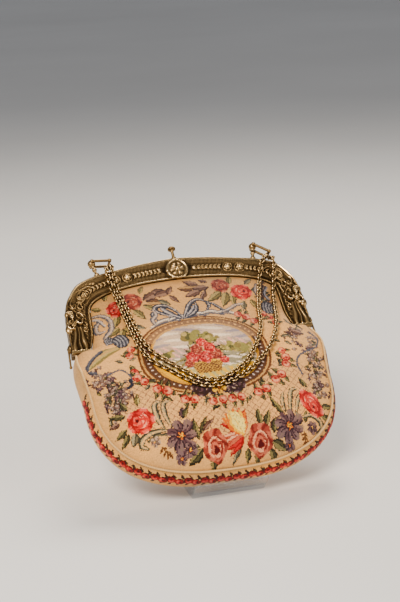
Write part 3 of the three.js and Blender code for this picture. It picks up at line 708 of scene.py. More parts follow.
def oval_share(chart):
    x, y = chart.near(OVAL["u"], OVAL["v"], OVAL["tilt"], OVAL["half_u"], OVAL["half_v"])
    power = OVAL["power"]
    return (np.abs(x) ** power + np.abs(y) ** power) ** (1 / power), x, y


def garden_view(chart, inside, x, y):
    draw = np.random.default_rng(21)
    chart.fill(inside, "sky")
    strokes = np.sin(y * 34 + 2.5 * np.sin(x * 4)) + 0.6 * np.sin(x * 9 + y * 5)
    chart.fill(inside & (strokes > 0.8), "sky_grey")
    chart.fill(inside & (strokes < -0.9), "cloud")
    hill = 0.16 + 0.2 * np.exp(-((x - 0.45) / 0.28) ** 2) + 0.08 * np.exp(-((x + 0.6) / 0.2) ** 2)
    chart.fill(inside & (y < hill) & (np.sin(x * 46 + y * 34) > -0.1), "lilac_light")
    chart.fill(inside & (y < hill) & (np.sin(x * 46 + y * 34) < -0.7), "blush")
    for trunk_x, trunk_y, reach in TREES:
        chart.fill(inside & (np.abs(x - trunk_x) < 0.018) & (y < trunk_y) & (y > -0.15), "bark", 0.1)
        for _ in range(22):
            cx, cy = trunk_x + draw.normal(0, reach * 0.5), trunk_y + draw.normal(0, reach * 0.4)
            clump = np.hypot(x - cx, (y - cy) * 0.8) < reach * draw.uniform(0.14, 0.3)
            chart.fill(inside & clump, FOLIAGE[draw.integers(len(FOLIAGE))], 0.15)
    lawn = -0.04 + 0.06 * np.sin(x * 4 + 1)
    chart.fill(inside & (y < lawn), "sage_light")
    chart.fill(inside & (y < lawn) & (np.sin(x * 26 + y * 60) + np.sin(y * 33) > 0.4), "cloud")
    chart.fill(inside & (y < lawn) & (np.sin(x * 31 - y * 50) + np.sin(x * 13) > 1.0), "moss")
    chart.fill(inside & (y < -0.42 + 0.2 * np.abs(x)), "meadow")
    chart.fill(inside & (y < -0.46 + 0.2 * np.abs(x)) & (np.sin(x * 50 + y * 20) > 0), "yellow")


def flower_basket(chart, u, v):
    x, y = chart.near(u, v)
    bowl = (y < 0) & (y > -11) & (np.abs(x) < 13 + 0.35 * y)
    chart.fill(bowl, "gold", 0.2)
    chart.fill(bowl & ((np.sin(x * 2.2) * np.sin(y * 2.2)) > 0), "brown", 0.15)
    chart.fill((np.abs(y) < 1.2) & (np.abs(x) < 15), "yellow", 0.3)
    for turn in range(0, 181, 18):
        leaf(chart, u, v + 3, 19, 6, turn, (GREEN_LEAF, MOSS_LEAF)[turn // 18 % 2])
    for du, dv, radius, threads in BASKET_ROSES:
        rose(chart, u + du, v + dv, radius, threads, du * 7)


def beaded_oval(chart, beads=60):
    away, x, y = oval_share(chart)
    garden_view(chart, away < 0.84, x, y)
    flower_basket(chart, OVAL["u"] - 1, OVAL["v"] - 8)
    low = y < 0.35
    chart.fill((away < 1.0) & (away > 0.965), "brown", 0.2)
    chart.fill((away < 0.965) & (away > 0.93), "tan", 0.2)
    chart.fill((away < 0.935) & (away > 0.795), "mauve_brown", 0.2)
    chart.fill((away < 0.935) & (away > 0.795) & low, "plum_brown", 0.2)
    chart.fill((away < 0.935) & (away > 0.915), "brown", 0.2)
    chart.fill((away < 0.81) & (away > 0.77), "tan", 0.25)
    chart.fill((away < 0.81) & (away > 0.77) & low, "gold", 0.25)
    chart.fill((away < 0.77) & (away > 0.69) & (y < -0.3), "yellow", 0.15)
    chart.fill((away < 0.695) & (away > 0.675) & (y < -0.3), "brown", 0.15)
    turn = (np.arctan2(y, x) * beads / (2 * math.pi)) % 1 - 0.5
    bead = np.hypot(turn * 5.4, (away - 0.865) * 52) < 1.0
    chart.fill(bead, "mist", 0.35)
    chart.fill(bead & ~low, "cream", 0.35)


beaded_oval(front_chart)
print("oval", 2 * OVAL["half_u"], "by", 2 * OVAL["half_v"], "mm")

# %% [markdown]
# ## Flowers and ribbons of the front
# A bow crowns the oval, shells and scrolls stand beside it, rosebuds swing below it, and a garland of
# roses, lilac and dark anemones fills the lower edge. Tables give each motif's place in millimetres.

# %% Places of ribbons and leaves
RIBBONS = [
    # points (u, v), width, threads
    ([(-37, 6), (-29, 11), (-20, 12.5), (-13, 10.5)], 5.4, RUFFLE),
    ([(-22, 11), (-13, 14.5), (-4, 13)], 5.0, RUFFLE),
    ([(-8, 12), (2, 15.5), (11, 13)], 5.4, RUFFLE), ([(6, 14.5), (15, 16), (24, 12)], 5.0, RUFFLE),
    ([(18, 14), (27, 14.5), (36, 10)], 4.6, RUFFLE),
    ([(-10, 12), (-18, 16), (-25, 21), (-29, 25), (-27, 29), (-20, 28), (-14, 22), (-10, 13)],
     4.2, BOW_RIBBON),
    ([(-11, 13), (-17, 18), (-22, 24), (-24, 27)], 4.4, ("slate_dark", "slate_light", "mist")),
    ([(-30, 25), (-33, 20), (-30, 14)], 3.0, BOW_RIBBON),
    ([(-9, 12), (-5, 19), (0, 27), (7, 31), (13, 28)], 4.4, BOW_RIBBON),
    ([(-8, 12), (0, 16), (4, 21), (5, 27)], 4.0, BOW_RIBBON),
    ([(-6, 14), (0, 20), (3, 25)], 3.4, ("slate_dark", "slate_light", "mist")),
    ([(13, 28), (15, 23), (12, 19)], 3.4, BOW_RIBBON),
    ([(13, 28), (19, 24), (24, 18), (29, 14)], 3.0, BOW_RIBBON),
    ([(-31, 26), (-30, 20), (-34, 15), (-33, 9)], 4.0, PALE_RIBBON),
    ([(24, 15), (30, 17), (37, 21), (44, 22)], 3.4, PALE_RIBBON),
    ([(-78, 31), (-71, 30), (-66, 24), (-67, 14), (-73, 7), (-74, -2)], 4.4, PALE_RIBBON),
    ([(-72, 25), (-77, 22), (-77, 15), (-72, 14)], 4.2, PALE_RIBBON),
    ([(-78, 28), (-74, 26), (-71, 20)], 2.6, ("slate", "mist")),
    ([(-93.5, -22), (-86, -16), (-77, -10.5), (-66, -8)], 8.0, ("moss", "moss_light", "tan")),
    ([(-94, -21), (-88, -13), (-80, -7.5)], 3.2, ("slate_dark", "slate")),
    ([(-92.5, -19), (-93.5, -25), (-88, -28)], 2.2, ("slate_dark", "slate")),
    ([(-80, -32), (-70, -29.5), (-64, -36), (-63.5, -43), (-67, -47)], 1.5, LINE),
    ([(-65, -40), (-64, -44.5), (-67, -47)], 2.6, ("slate_dark",)),
    ([(92, -11), (96, -19), (92, -28)], 1.6, LINE),
    ([(90, -29), (80, -33), (72.5, -38), (69.5, -45), (71.5, -54)], 1.6, LINE),
    ([(62, 44), (59, 36), (61, 27)], 3.4, PALE_RIBBON),
    ([(70, 40), (66, 33), (68, 27)], 2.6, ("slate_dark", "slate_light")),
    ([(-48, -88), (-51.5, -77), (-51.5, -66), (-46.5, -64.5)], 4.4, PLUME),
    ([(-43, -86), (-45.5, -76), (-45, -67), (-40.5, -65.5)], 4.0, PLUME),
    ([(-46, -88.5), (-56, -87.5), (-64.5, -90.5), (-66.5, -95.5), (-62, -98.5)], 4.6, PLUME),
    ([(-47, -91.5), (-55, -90.5), (-61, -93.5)], 2.0, ("sage_dark", "sage")),
    ([(52, -88), (54, -78), (57, -69), (62, -67)], 4.0, PLUME),
    ([(57, -88), (60, -79), (64, -73), (68, -74)], 3.6, PLUME),
    ([(48, -86), (47.5, -77), (50, -70)], 3.4, PLUME),
    ([(61, -91), (69, -89.5), (76, -93), (77, -99), (72, -103)], 4.2, PLUME),
]
LEAVES = [
    # u, v, length, width, turn, threads
    (-36, 38, 19, 8.5, 24, MAUVE_LEAF), (-34, 36, 16, 7.5, 345, BRONZE_LEAF),
    (-27, 47, 15, 7.0, 345, MAUVE_LEAF), (-26, 41, 17, 8.0, 12, MAUVE_LEAF),
    (-24, 36, 12, 5.2, 320, SAGE_LEAF), (-15, 40, 12, 5.0, 60, MAUVE_LEAF),
    (-14, 40, 12, 5.0, 300, MAUVE_LEAF), (-37, 46, 10, 4.5, 60, MOSS_LEAF),
    (-37, 33, 13, 5.4, 320, MOSS_LEAF), (9, 44, 15, 7.5, 170, BRONZE_LEAF),
    (13, 41, 16, 7.5, 200, MAUVE_LEAF), (13, 48, 14, 7.0, 150, MAUVE_LEAF),
    (21, 44, 15, 7.5, 178, MAUVE_LEAF), (22, 50, 9, 4.2, 150, MAUVE_LEAF),
    (17, 40, 13, 5.4, 235, MAUVE_LEAF), (30, 38, 19, 7.5, 215, MOSS_LEAF),
    (34, 37, 19, 8.0, 245, MOSS_LEAF), (38, 37, 17, 6.4, 262, MOSS_LEAF),
    (39, 46, 11, 5.0, 70, MOSS_LEAF), (52, 44, 11, 5.0, 40, SAGE_LEAF), (55, 37, 12, 5.0, 5, SAGE_LEAF),
    (46, 26, 13, 5.4, 250, SAGE_LEAF), (52, 27, 12, 5.4, 285, MOSS_LEAF),
    (56, 30, 12, 5.0, 330, SAGE_LEAF), (-52, 30, 16, 6.5, 265, MOSS_LEAF),
    (-46, 30, 15, 6.5, 300, MOSS_LEAF), (-58, 28, 15, 6.0, 245, MOSS_LEAF),
    (-66, 44, 10, 4.5, 70, MOSS_LEAF), (-70, 36, 9, 4.2, 160, MOSS_LEAF),
    (-60, 14, 15, 7.0, 210, MOSS_LEAF), (-58, 12, 14, 6.5, 250, MOSS_LEAF),
    (-56, 14, 13, 6.0, 290, MOSS_LEAF), (-50, 12, 11, 5.0, 330, SAGE_LEAF),
    (-64, -18, 7, 3.2, 60, SAGE_LEAF), (-62, -22, 7, 3.2, 10, SAGE_LEAF),
    (-66, -23, 7, 3.2, 150, SAGE_LEAF), (-62, -27, 7, 3.2, 300, SAGE_LEAF),
    (62, -15, 8, 3.2, 200, SAGE_LEAF), (64, -17, 8, 3.2, 20, SAGE_LEAF),
    (65, -21, 8, 3.2, 320, SAGE_LEAF), (62, -22, 8, 3.2, 150, SAGE_LEAF),
    (-75, -80, 11, 5.4, 215, GREEN_LEAF), (-74, -70, 13, 5.2, 168, GREEN_LEAF),
    (-69, -85, 10, 7.0, 250, SAGE_LEAF), (-72, -66, 10, 4.6, 115, GREEN_LEAF),
    (-74, -84, 12, 5.0, 235, GREEN_LEAF), (-79, -74, 9, 4.6, 195, MAUVE_LEAF),
    (-64, -64, 11, 4.6, 80, MOSS_LEAF), (-33, -82, 10, 6.0, 80, PLUM_BLOOM),
    (-33, -82, 12, 4.0, 60, GREEN_LEAF), (-24, -100, 18, 5.2, 95, GREEN_LEAF),
    (-22, -96, 15, 4.6, 62, GREEN_LEAF), (-26, -98, 15, 4.6, 130, MOSS_LEAF),
    (-20, -94, 14, 4.4, 40, MAUVE_LEAF), (-22, -106, 15, 8.0, 218, GREEN_LEAF),
    (-14, -112, 10, 6.0, 262, GREEN_LEAF), (-24, -104, 10, 5.0, 180, SAGE_LEAF),
    (9, -102, 20, 5.0, 242, SAGE_LEAF), (13, -110, 10, 5.0, 262, GREEN_LEAF),
    (19, -113, 9, 4.4, 280, GREEN_LEAF), (31, -112, 10, 6.0, 295, GREEN_LEAF),
    (33, -107, 14, 7.5, 330, GREEN_LEAF), (26, -96, 15, 5.2, 92, GREEN_LEAF),
    (29, -97, 15, 5.2, 66, GREEN_LEAF), (33, -98, 13, 5.0, 42, MAUVE_LEAF),
    (35, -102, 14, 4.8, 72, GREEN_LEAF), (36, -104, 12, 4.6, 10, SAGE_LEAF),
    (46, -88, 18, 5.0, 118, GREEN_LEAF), (78, -88, 12, 5.4, 328, GREEN_LEAF),
    (80, -82, 12, 5.0, 0, GREEN_LEAF), (76, -92, 10, 5.0, 290, GREEN_LEAF),
    (66, -86, 10, 4.6, 250, GREEN_LEAF), (72, -66, 11, 4.6, 120, GREEN_LEAF),
    (84, -10, 13, 5.0, 190, MAUVE_LEAF), (86, -14, 14, 5.0, 160, MAUVE_LEAF),
    (80, -4, 11, 4.6, 120, SAGE_LEAF),
]
print(len(RIBBONS), "ribbons,", len(LEAVES), "leaves")

# %% Places of flowers
ROSES = [
    # u, v, radius, threads, turn, narrow
    (-58.5, 33.5, 8.8, RED_ROSE, 40, 0.95), (-45.5, 38.6, 9.6, SALMON_ROSE, 10, 1.0),
    (31.0, 45.0, 8.6, SALMON_ROSE, 70, 0.95), (46.4, 35.8, 9.8, RED_ROSE, 200, 0.95),
    (-64.0, -76.5, 10.8, RED_ROSE, 0, 1.0), (72.0, -79.5, 13.4, RED_ROSE, 122, 0.62),
]
CUP_ROSES = [
    # u, v, radius, threads, turn, narrow
    (-12.6, -105.0, 12.8, DUSK_ROSE, 8, 0.78), (23.4, -105.0, 12.8, DUSK_ROSE, -10, 0.84),
]
BLOOMS = [
    # u, v, radius, petals, threads, turn
    (-36.9, -94.5, 14.6, 7, PLUM_BLOOM, 20), (49.2, -97.0, 14.8, 8, PLUM_BLOOM, 5),
    (-31.5, -105.5, 6.2, 5, PLUM_BLOOM, 0), (-38.5, -110.0, 5.4, 5, PLUM_BLOOM, 40),
    (47.0, -110.5, 5.4, 5, PLUM_BLOOM, 10), (68.4, -98.5, 5.8, 6, PLUM_BLOOM, 0),
    (-56.5, -95.0, 4.6, 5, LILAC_BLOOM, 15),
]
BUDS = [
    # u, v, radius, turn
    (-60, -34.5, 3.4, 200), (-59, -40, 3.6, 20), (-54.5, -44.5, 3.4, 80), (-46.5, -53, 3.8, 150),
    (-39.5, -56.5, 4.0, 330), (-28, -66, 3.6, 170), (-20.5, -67.5, 3.6, 350), (-7, -71.5, 3.4, 160),
    (0.7, -71.2, 3.4, 10), (8, -71.2, 3.4, 180), (15.6, -70.6, 3.4, 0), (30, -68, 3.6, 200),
    (37.5, -65.5, 3.8, 20), (47, -58, 3.8, 220), (53.5, -53.5, 3.8, 40), (60, -44, 3.6, 240),
    (62, -37.5, 3.6, 60), (60.5, -31, 3.2, 100), (-57.5, -12, 3.2, 100), (-60, -18, 3.0, 260),
    (-51, 2, 3.0, 60), (36, 10.5, 3.4, 150), (42, 7, 3.6, 330), (47, 2, 3.4, 130), (62, 6, 3.2, 100),
    (65, -1, 3.2, 270), (58, 10, 3.0, 40), (84, 2, 2.8, 0),
]
SPRAYS = [
    # spine (u, v), spread, florets, seed
    ([(-90, -28), (-86, -36), (-80, -43), (-76, -50), (-80, -58), (-82, -68)], 9.0, 130, 3),
    ([(-74, -46), (-72, -52), (-76, -60)], 6.0, 50, 4),
    ([(91, -16), (84, -34), (88, -48), (82, -62), (87, -72)], 8.0, 120, 5),
    ([(80, -6), (74, -14), (74, -24)], 7.0, 38, 8),
    ([(67, 46), (65, 36), (66, 26)], 4.5, 40, 14),
]
SHELLS = [
    # u, v, radius, turn
    (-71.5, 2.0, 4.6, 185), (-63.0, -1.0, 7.6, 12), (64.5, 17.0, 7.4, 170),
]
SPRIGS = [
    # u, v, turn
    (-52.0, -99.5, 285), (61.5, -101.5, 252),
]
OVAL_FOOT = [
    # u, v, radius, turn: dark curled blooms under the oval
    (-13.0, -58.0, 8.6, 40), (13.5, -58.8, 8.6, 200), (-5.5, -61.5, 4.6, 90), (6.0, -62.0, 4.6, 10),
]
DARK_CURL = ("umber", "umber", "plum_dark", "plum", "lilac_light")
print(len(ROSES) + len(CUP_ROSES) + len(BLOOMS), "large flowers,", len(BUDS), "buds")

# %% [markdown]
# ## Working order
# What is stitched later covers what lies under it, so the order decides which flower is in front. Sprays
# and leaves come first, then ribbons, twigs, shells and buds, and the large flowers last.

# %% Embroider the front
SWAG = [
    # u, v under the oval
    (-60, -34), (-50, -50), (-34, -62), (-14, -70), (4, -72.5), (22, -70), (42, -63), (56, -50), (62, -34),
]
SWAG_LEAVES, SWAG_STRAY = 46, 1.6


def swag_leaves(chart):
    """Short dark leaves between the pairs of buds under the oval."""
    draw = np.random.default_rng(29)
    for u, v in spline(SWAG, np.linspace(0, 1, SWAG_LEAVES)):
        spot = (u + draw.normal(0, SWAG_STRAY), v + draw.normal(0, SWAG_STRAY))
        length, turn = draw.uniform(4, 7), draw.uniform(0, 360)
        leaf(chart, *spot, length, 2.8, turn, (GREEN_LEAF, SAGE_LEAF, GREEN_LEAF)[draw.integers(3)])


def embroider_front(chart):
    for spine, spread, florets, seed in SPRAYS:
        spray(chart, spine, spread, florets, seed)
    for row in LEAVES:
        leaf(chart, *row)
    for points, width, threads in RIBBONS:
        stroke(chart, points, width, threads)
    for row in SPRIGS:
        twig(chart, *row)
    for row in SHELLS:
        shell(chart, *row)
    swag_leaves(chart)
    for row in BUDS:
        bud(chart, *row, GARLAND_ROSE)
    for turn, threads in ((176, SALMON_LEAF), (192, SALMON_LEAF), (224, RED_LEAF), (208, RED_LEAF)):
        leaf(chart, 11, -101.5, 18, 6.5, turn, threads, bend=0.0)
    tulip(chart, 11, -101, 23, 112)
    for u, v, radius, petals, threads, turn in BLOOMS:
        bloom(chart, u, v, radius, petals, threads, turn=turn)
    for row in ROSES:
        rose(chart, *row)
    for row in CUP_ROSES:
        cup_rose(chart, *row)
    for u, v, radius, turn in OVAL_FOOT:
        rose(chart, u, v, radius, DARK_CURL, turn)
    bloom(chart, 0, -60.5, 6.8, 5, ("brown", "gold", "yellow"), ("umber", "orange"), 90)


embroider_front(front_chart)
print("stitches in colour:", int((front_chart.pile > 0).sum()))

# %% [markdown]
# ## The back and the side strip
# The back isn't on show, so it is guessed: the same ground and trellis, with a posy inside a wreath of
# the same flowers. The strip between the two seams carries a close row of red roses, set towards its
# front. High on the left side no roses show in the photo, so the strip is left bare there.

# %% Charts of the back and the strip
BACK_STITCH, BACK_TRELLIS_PITCH = 1.0, 6
WREATH_U, WREATH_V, WREATH_MIDDLE_V, WREATH_COUNT = 52, 40, -35, 22
STRIP_LEAF = ("umber", "leaf_dark", "leaf")


def embroider_back(chart):
    trellis(chart, BACK_TRELLIS_PITCH, np.abs(chart.u) < CANVAS_HALF)
    draw = np.random.default_rng(17)
    for k in range(WREATH_COUNT):
        angle = 2 * math.pi * k / WREATH_COUNT
        u, v = WREATH_U * math.cos(angle), WREATH_MIDDLE_V + WREATH_V * math.sin(angle)
        heading = math.degrees(angle) + 90
        leaf(chart, u, v, 13, 5.5, heading + 35, GREEN_LEAF)
        leaf(chart, u, v, 13, 5.5, heading - 35, SAGE_LEAF)
        if k % 2:
            bud(chart, u, v, 3.8, draw.uniform(0, 360))
        else:
            rose(chart, u, v, 8.0, (RED_ROSE, DUSK_ROSE, SALMON_ROSE)[k // 2 % 3], draw.uniform(0, 360))
    spray(chart, [(-14, -46), (0, -30), (14, -46)], 9, 60, 31)
    bloom(chart, -17, -28, 11, 8)
    bloom(chart, 17, -28, 11, 8)
    rose(chart, 0, -37, 12, RED_ROSE)


back_columns, back_rows = canvas(PANEL_BOTTOM, PANEL_TOP, CANVAS_HALF, back_level, BACK_STITCH)
back_chart = chart_of(back_columns, back_rows)
embroider_back(back_chart)

seam_right = below_frame(inset=0.0)
seam = np.vstack([seam_right, (seam_right[:-1] * (1, -1, 1, 1, 1))[::-1]])
seam_run = np.concatenate([[0], np.cumsum(np.hypot(np.diff(seam[:, 0]), np.diff(seam[:, 1])))])
STRIP_WIDTH, GARLAND_PLACE, GARLAND_PITCH = 27.0, 19.0, 6.2
BARE_LEFT = 38.0
strip_columns = np.linspace(0, STRIP_WIDTH, round(STRIP_WIDTH / STITCH) + 1)
strip_rows = np.linspace(0, seam_run[-1], round(seam_run[-1] / STITCH) + 1)
strip_chart = chart_of(strip_columns, strip_rows)


def embroider_strip(chart):
    for k in range(int((seam_run[-1] - BARE_LEFT) / GARLAND_PITCH)):
        along, side = (k + 0.5) * GARLAND_PITCH, 1 if k % 2 else -1
        leaf(chart, GARLAND_PLACE + 2.2, along + 2.6, 5.2, 2.3, 40, STRIP_LEAF)
        leaf(chart, GARLAND_PLACE - 2.6, along, 4.2, 2.2, 150, STRIP_LEAF)
        bud(chart, GARLAND_PLACE + side * 0.8, along, 3.6, 90 + side * 50, DEEP_ROSE, leaves=None)


embroider_strip(strip_chart)
print("strip", strip_chart.u.shape, "stitches,", round(seam_run[-1]), "mm long")

# %% [markdown]
# ## From chart to cloth
# Each stitch becomes one face, placed on the bag's swelling surface. The chart is a square grid, and
# the bag isn't, so the faces along the outline are cut to it: every grid line that crosses the outline
# gets a point there, found by halving. The thread's colour is kept on the face's corners.

# %% Cloth finish
STITCH_RELIEF, STRAY_SHARE, FADING_WAVES, HALVINGS = 0.00012, 0.16, 14, 18


def embroidery_finish(name):
    made, tree, shader = finish(
        name, Roughness=0.82, Sheen_Weight=0.18, Sheen_Roughness=0.5, Specular_IOR_Level=0.25)
    thread = knot(tree, "Attribute", attribute_name="thread").outputs["Color"]
    part = knot(tree, "SeparateXYZ", {0: knot(tree, "UVMap", uv_map="stitches").outputs["UV"]})
    x, y = (figure(tree, "FRACT", part.outputs[i]) for i in (0, 1))
    across = figure(tree, "ABSOLUTE", figure(tree, "SUBTRACT", figure(tree, "ADD", x, y), 1.0))
    endways = figure(tree, "ABSOLUTE", figure(tree, "SUBTRACT", x, y))
    body = figure(tree, "SUBTRACT", 1.0, figure(tree, "POWER", across, 2.0))
    tip = figure(tree, "SUBTRACT", 1.0, figure(tree, "POWER", endways, 3.0))
    height = figure(tree, "MULTIPLY", body, tip)
    fuzz = knot(tree, "TexNoise", {"Scale": 2600.0, "Detail": 2.0})
    rough_height = figure(tree, "ADD", height, figure(tree, "MULTIPLY", fuzz.outputs["Fac"], 0.5))
    # Painted shade between the stitches: the thread's colour is darkened where the stitch pattern sinks.
    painted_stitch_shade = ramp(tree, height, (0.0, (0.62, 0.58, 0.53)), (0.55, (1.0, 1.0, 1.0)))
    mixed = knot(tree, "Mix", data_type="RGBA", blend_type="MULTIPLY")
    mixed.inputs["Factor"].default_value = 1.0
    tree.links.new(thread, mixed.inputs[6])
    tree.links.new(painted_stitch_shade, mixed.inputs[7])
    tree.links.new(mixed.outputs[2], shader.inputs["Base Color"])
    bump = knot(tree, "Bump", {"Height": rough_height, "Distance": STITCH_RELIEF, "Strength": 0.9})
    tree.links.new(bump.outputs["Normal"], shader.inputs["Normal"])
    return made


petit_point = embroidery_finish("petit_point")


def aged(chart, seed, edge, upper_shade_and_age=0.0):
    """Linear colours: strayed stitches, uneven dye, fading, and soil with painted shade by the frame,
    seams and top.
    """
    draw = np.random.default_rng(seed)
    rows, columns = chart.u.shape
    row, column = np.meshgrid(np.arange(rows), np.arange(columns), indexing="ij")
    strayed = draw.random((2, rows, columns)) < STRAY_SHARE
    step = draw.integers(-1, 2, (2, rows, columns)) * strayed
    colour = chart.colour[(row + step[0]).clip(0, rows - 1), (column + step[1]).clip(0, columns - 1)]
    even = 1 + draw.normal(0, 0.085, (rows, columns)) + draw.normal(0, 0.025, (rows, 1))
    slow = np.zeros((rows, columns))
    for _ in range(FADING_WAVES):
        turn, wave = draw.uniform(0, 2 * math.pi), draw.uniform(0.03, 0.16)
        shift = draw.uniform(0, 2 * math.pi)
        slow += np.sin((chart.u * math.cos(turn) + chart.v * math.sin(turn)) * wave + shift)
    # Darker by the frame and seams, partly soil and partly painted shade, plus the painted shade and
    # ageing towards the top that is passed in.
    soil_and_shade = 0.16 * np.exp(-np.clip(edge, 0, None) / 4) + upper_shade_and_age
    value = colour * (even * (1 + 0.026 * slow) * (1 - soil_and_shade))[..., None]
    warm = np.array([1.0, 0.985, 0.95]) ** (slow / 2 + 5 * soil_and_shade)[..., None]
    return (value * warm).clip(0, 1)


def stitched(name, columns, rows, inside, spot, colours, flip):
    """Mesh of a chart's stitches inside an outline; spot gives the place of a stitch corner."""
    u, v = np.meshgrid(columns, rows)
    kept = inside(u, v) > 0
    count_v, count_u = u.shape
    number = np.full(u.shape, -1)
    number[kept] = np.arange(kept.sum())
    grid = np.stack(np.meshgrid(np.arange(count_u), np.arange(count_v)), -1).astype(float)
    points, marks = [np.stack([u[kept], v[kept]], 1)], [grid[kept]]
    crossing, total = {}, int(kept.sum())
    for step in ((0, 1), (1, 0)):
        a = kept[:count_v - step[0], :count_u - step[1]]
        b = kept[step[0]:, step[1]:]
        r, c = np.nonzero(a != b)
        ends = [np.stack([u[i, j], v[i, j]], 1) for i, j in ((r, c), (r + step[0], c + step[1]))]
        starts_in = kept[r, c]
        low = np.where(starts_in, 0.0, 1.0)
        high = 1 - low
        for _ in range(HALVINGS):
            half = (low + high) / 2
            at = ends[0] + (ends[1] - ends[0]) * half[:, None]
            ok = inside(at[:, 0], at[:, 1]) > 0
            low, high = np.where(ok, half, low), np.where(ok, high, half)
        points.append(ends[0] + (ends[1] - ends[0]) * low[:, None])
        marks.append(grid[r, c] + low[:, None] * np.array([step[1], step[0]]))
        for k, (i, j) in enumerate(zip(r.tolist(), c.tolist())):
            crossing[(i, j, step)] = total + k
        total += len(r)
    inside_corners = kept[:-1, :-1].astype(int) + kept[:-1, 1:] + kept[1:, 1:] + kept[1:, :-1]
    r, c = np.nonzero(inside_corners == 4)
    faces = np.stack([number[r, c], number[r + 1, c], number[r + 1, c + 1], number[r, c + 1]], 1).tolist()
    cells = list(zip(r.tolist(), c.tolist()))
    for r, c in zip(*(x.tolist() for x in np.nonzero((inside_corners > 0) & (inside_corners < 4)))):
        ring = [(r, c), (r + 1, c), (r + 1, c + 1), (r, c + 1)]
        edges = [(r, c, (1, 0)), (r + 1, c, (0, 1)), (r, c + 1, (1, 0)), (r, c, (0, 1))]
        face = []
        for (i, j), edge in zip(ring, edges):
            if kept[i, j]:
                face.append(int(number[i, j]))
            if edge in crossing:
                face.append(crossing[edge])
        if len(face) > 2:
            faces.append(face)
            cells.append((r, c))
    if flip:
        faces = [face[::-1] for face in faces]
    points, marks = np.vstack(points), np.vstack(marks)
    made = piece(name, spot(points[:, 0], points[:, 1]), faces, petit_point)
    loops = np.concatenate([np.asarray(face) for face in faces])
    sizes = [len(face) for face in faces]
    tint = np.array([colours[cell] for cell in cells])
    tint = np.repeat(np.concatenate([tint, np.ones((len(tint), 1))], 1), sizes, axis=0)
    thread = made.data.color_attributes.new("thread", "FLOAT_COLOR", "CORNER")
    thread.data.foreach_set("color", tint.astype(np.float32).ravel())
    stitches = made.data.uv_layers.new(name="stitches")
    stitches.uv.foreach_set("vector", marks[loops].astype(np.float32).ravel())
    return made


print("cloth finish and stitcher ready")

# %% [markdown]
# ## Sewing the panels
# The flowers stand one to four tenths of a millimetre above the ground, as dense stitches do, so each
# corner of a stitch is lifted along the cloth's own slope by the pile of the stitches round it. The form
# is worked out and not simulated, because this cloth is sewn tight and its levels are already known.

# %% Front and back panels
RIPPLE, RIPPLE_MARGIN = 0.22, 9
# Painted shade, with some ageing: the front's ground grows darker towards the frame at its top.
UPPER_SHADE_AND_AGE, UPPER_SHADE_AND_AGE_FROM, UPPER_SHADE_AND_AGE_REACH = 0.3, -30, 80


def panel_room(u, v):
    within = along_rows(v, HALF_WIDTH) - np.abs(u)
    return np.minimum(within, np.minimum(v - PANEL_BOTTOM, PANEL_TOP - v))


def pile_at(chart, columns, rows, u, v):
    padded = np.pad(chart.pile, 1, mode="edge")
    corner = (padded[:-1, :-1] + padded[1:, :-1] + padded[:-1, 1:] + padded[1:, 1:]) / 4
    i = np.clip(np.rint(np.interp(-v, -rows, np.arange(len(rows)))).astype(int), 0, len(rows) - 1)
    j = np.clip(np.rint((u - columns[0]) / (columns[1] - columns[0])).astype(int), 0, len(columns) - 1)
    return corner[i, j]


def ripple(u, v):
    sideways = np.sin(u * 0.11 + 1.3 * np.sin(v * 0.07))
    upwards = np.sin(v * 0.13 + 0.9 * np.sin(u * 0.05) + 2)
    return RIPPLE * (sideways + upwards)


def lifted(level_of, side, chart, columns, rows):
    def spot(u, v):
        slope_u, slope_v = slopes(level_of, u, v, step=0.4)
        room = smooth_step(panel_room(u, v) / RIPPLE_MARGIN)
        rise = side * (pile_at(chart, columns, rows, u, v) + room * ripple(u, v))
        rise = rise / np.sqrt(1 + slope_u.clip(-2, 2)**2 + slope_v.clip(-2, 2)**2)
        return place(u, v, level_of(u, v) + rise)
    return spot


front_edge = panel_room(front_chart.u, front_chart.v)
# Painted shade and ageing that darken the front towards its top.
front_upper_shade_and_age = UPPER_SHADE_AND_AGE * smooth_step((front_chart.v - UPPER_SHADE_AND_AGE_FROM) / UPPER_SHADE_AND_AGE_REACH)
front_cloth = stitched(
    "embroidered_front", front_columns, front_rows, panel_room,
    lifted(front_level, 1, front_chart, front_columns, front_rows),
    aged(front_chart, seed=11, edge=front_edge, upper_shade_and_age=front_upper_shade_and_age), flip=False)
settle(front_cloth, "purse", "embroidery", "bag_front")
back_cloth = stitched(
    "embroidered_back", back_columns, back_rows, panel_room,
    lifted(back_level, -1, back_chart, back_columns, back_rows),
    aged(back_chart, seed=12, edge=panel_room(back_chart.u, back_chart.v)), flip=True)
settle(back_cloth, "purse", "embroidery", "bag_back")

# %% [markdown]
# ## Sewing the strip
# The strip runs down both sides and under the bag, and bulges out between the two seams. It could be a
# bevelled curve, but its chart is laid along the seam so that each stitch stays one face, as on the
# panels.

# %% Side strip
STRIP_INSET = 1.0


def strip_spot(c, s):
    v, u, front, back, bulge = (np.interp(s, seam_run, seam[:, i]) for i in range(5))
    step = 0.6
    before, after = np.clip(s - step, 0, seam_run[-1]), np.clip(s + step, 0, seam_run[-1])
    run_u = np.interp(after, seam_run, seam[:, 1]) - np.interp(before, seam_run, seam[:, 1])
    run_v = np.interp(after, seam_run, seam[:, 0]) - np.interp(before, seam_run, seam[:, 0])
    length = np.hypot(run_u, run_v)
    share = c / STRIP_WIDTH
    out = bulge * (1 - (2 * share - 1) ** 2)
    pile = pile_at(strip_chart, strip_columns, -strip_rows, c, -s) * (bulge > 0.5)
    w = back + STRIP_INSET + (front - back - 2 * STRIP_INSET) * share
    return place(u - run_v / length * (out + pile), v + run_u / length * (out + pile), w)


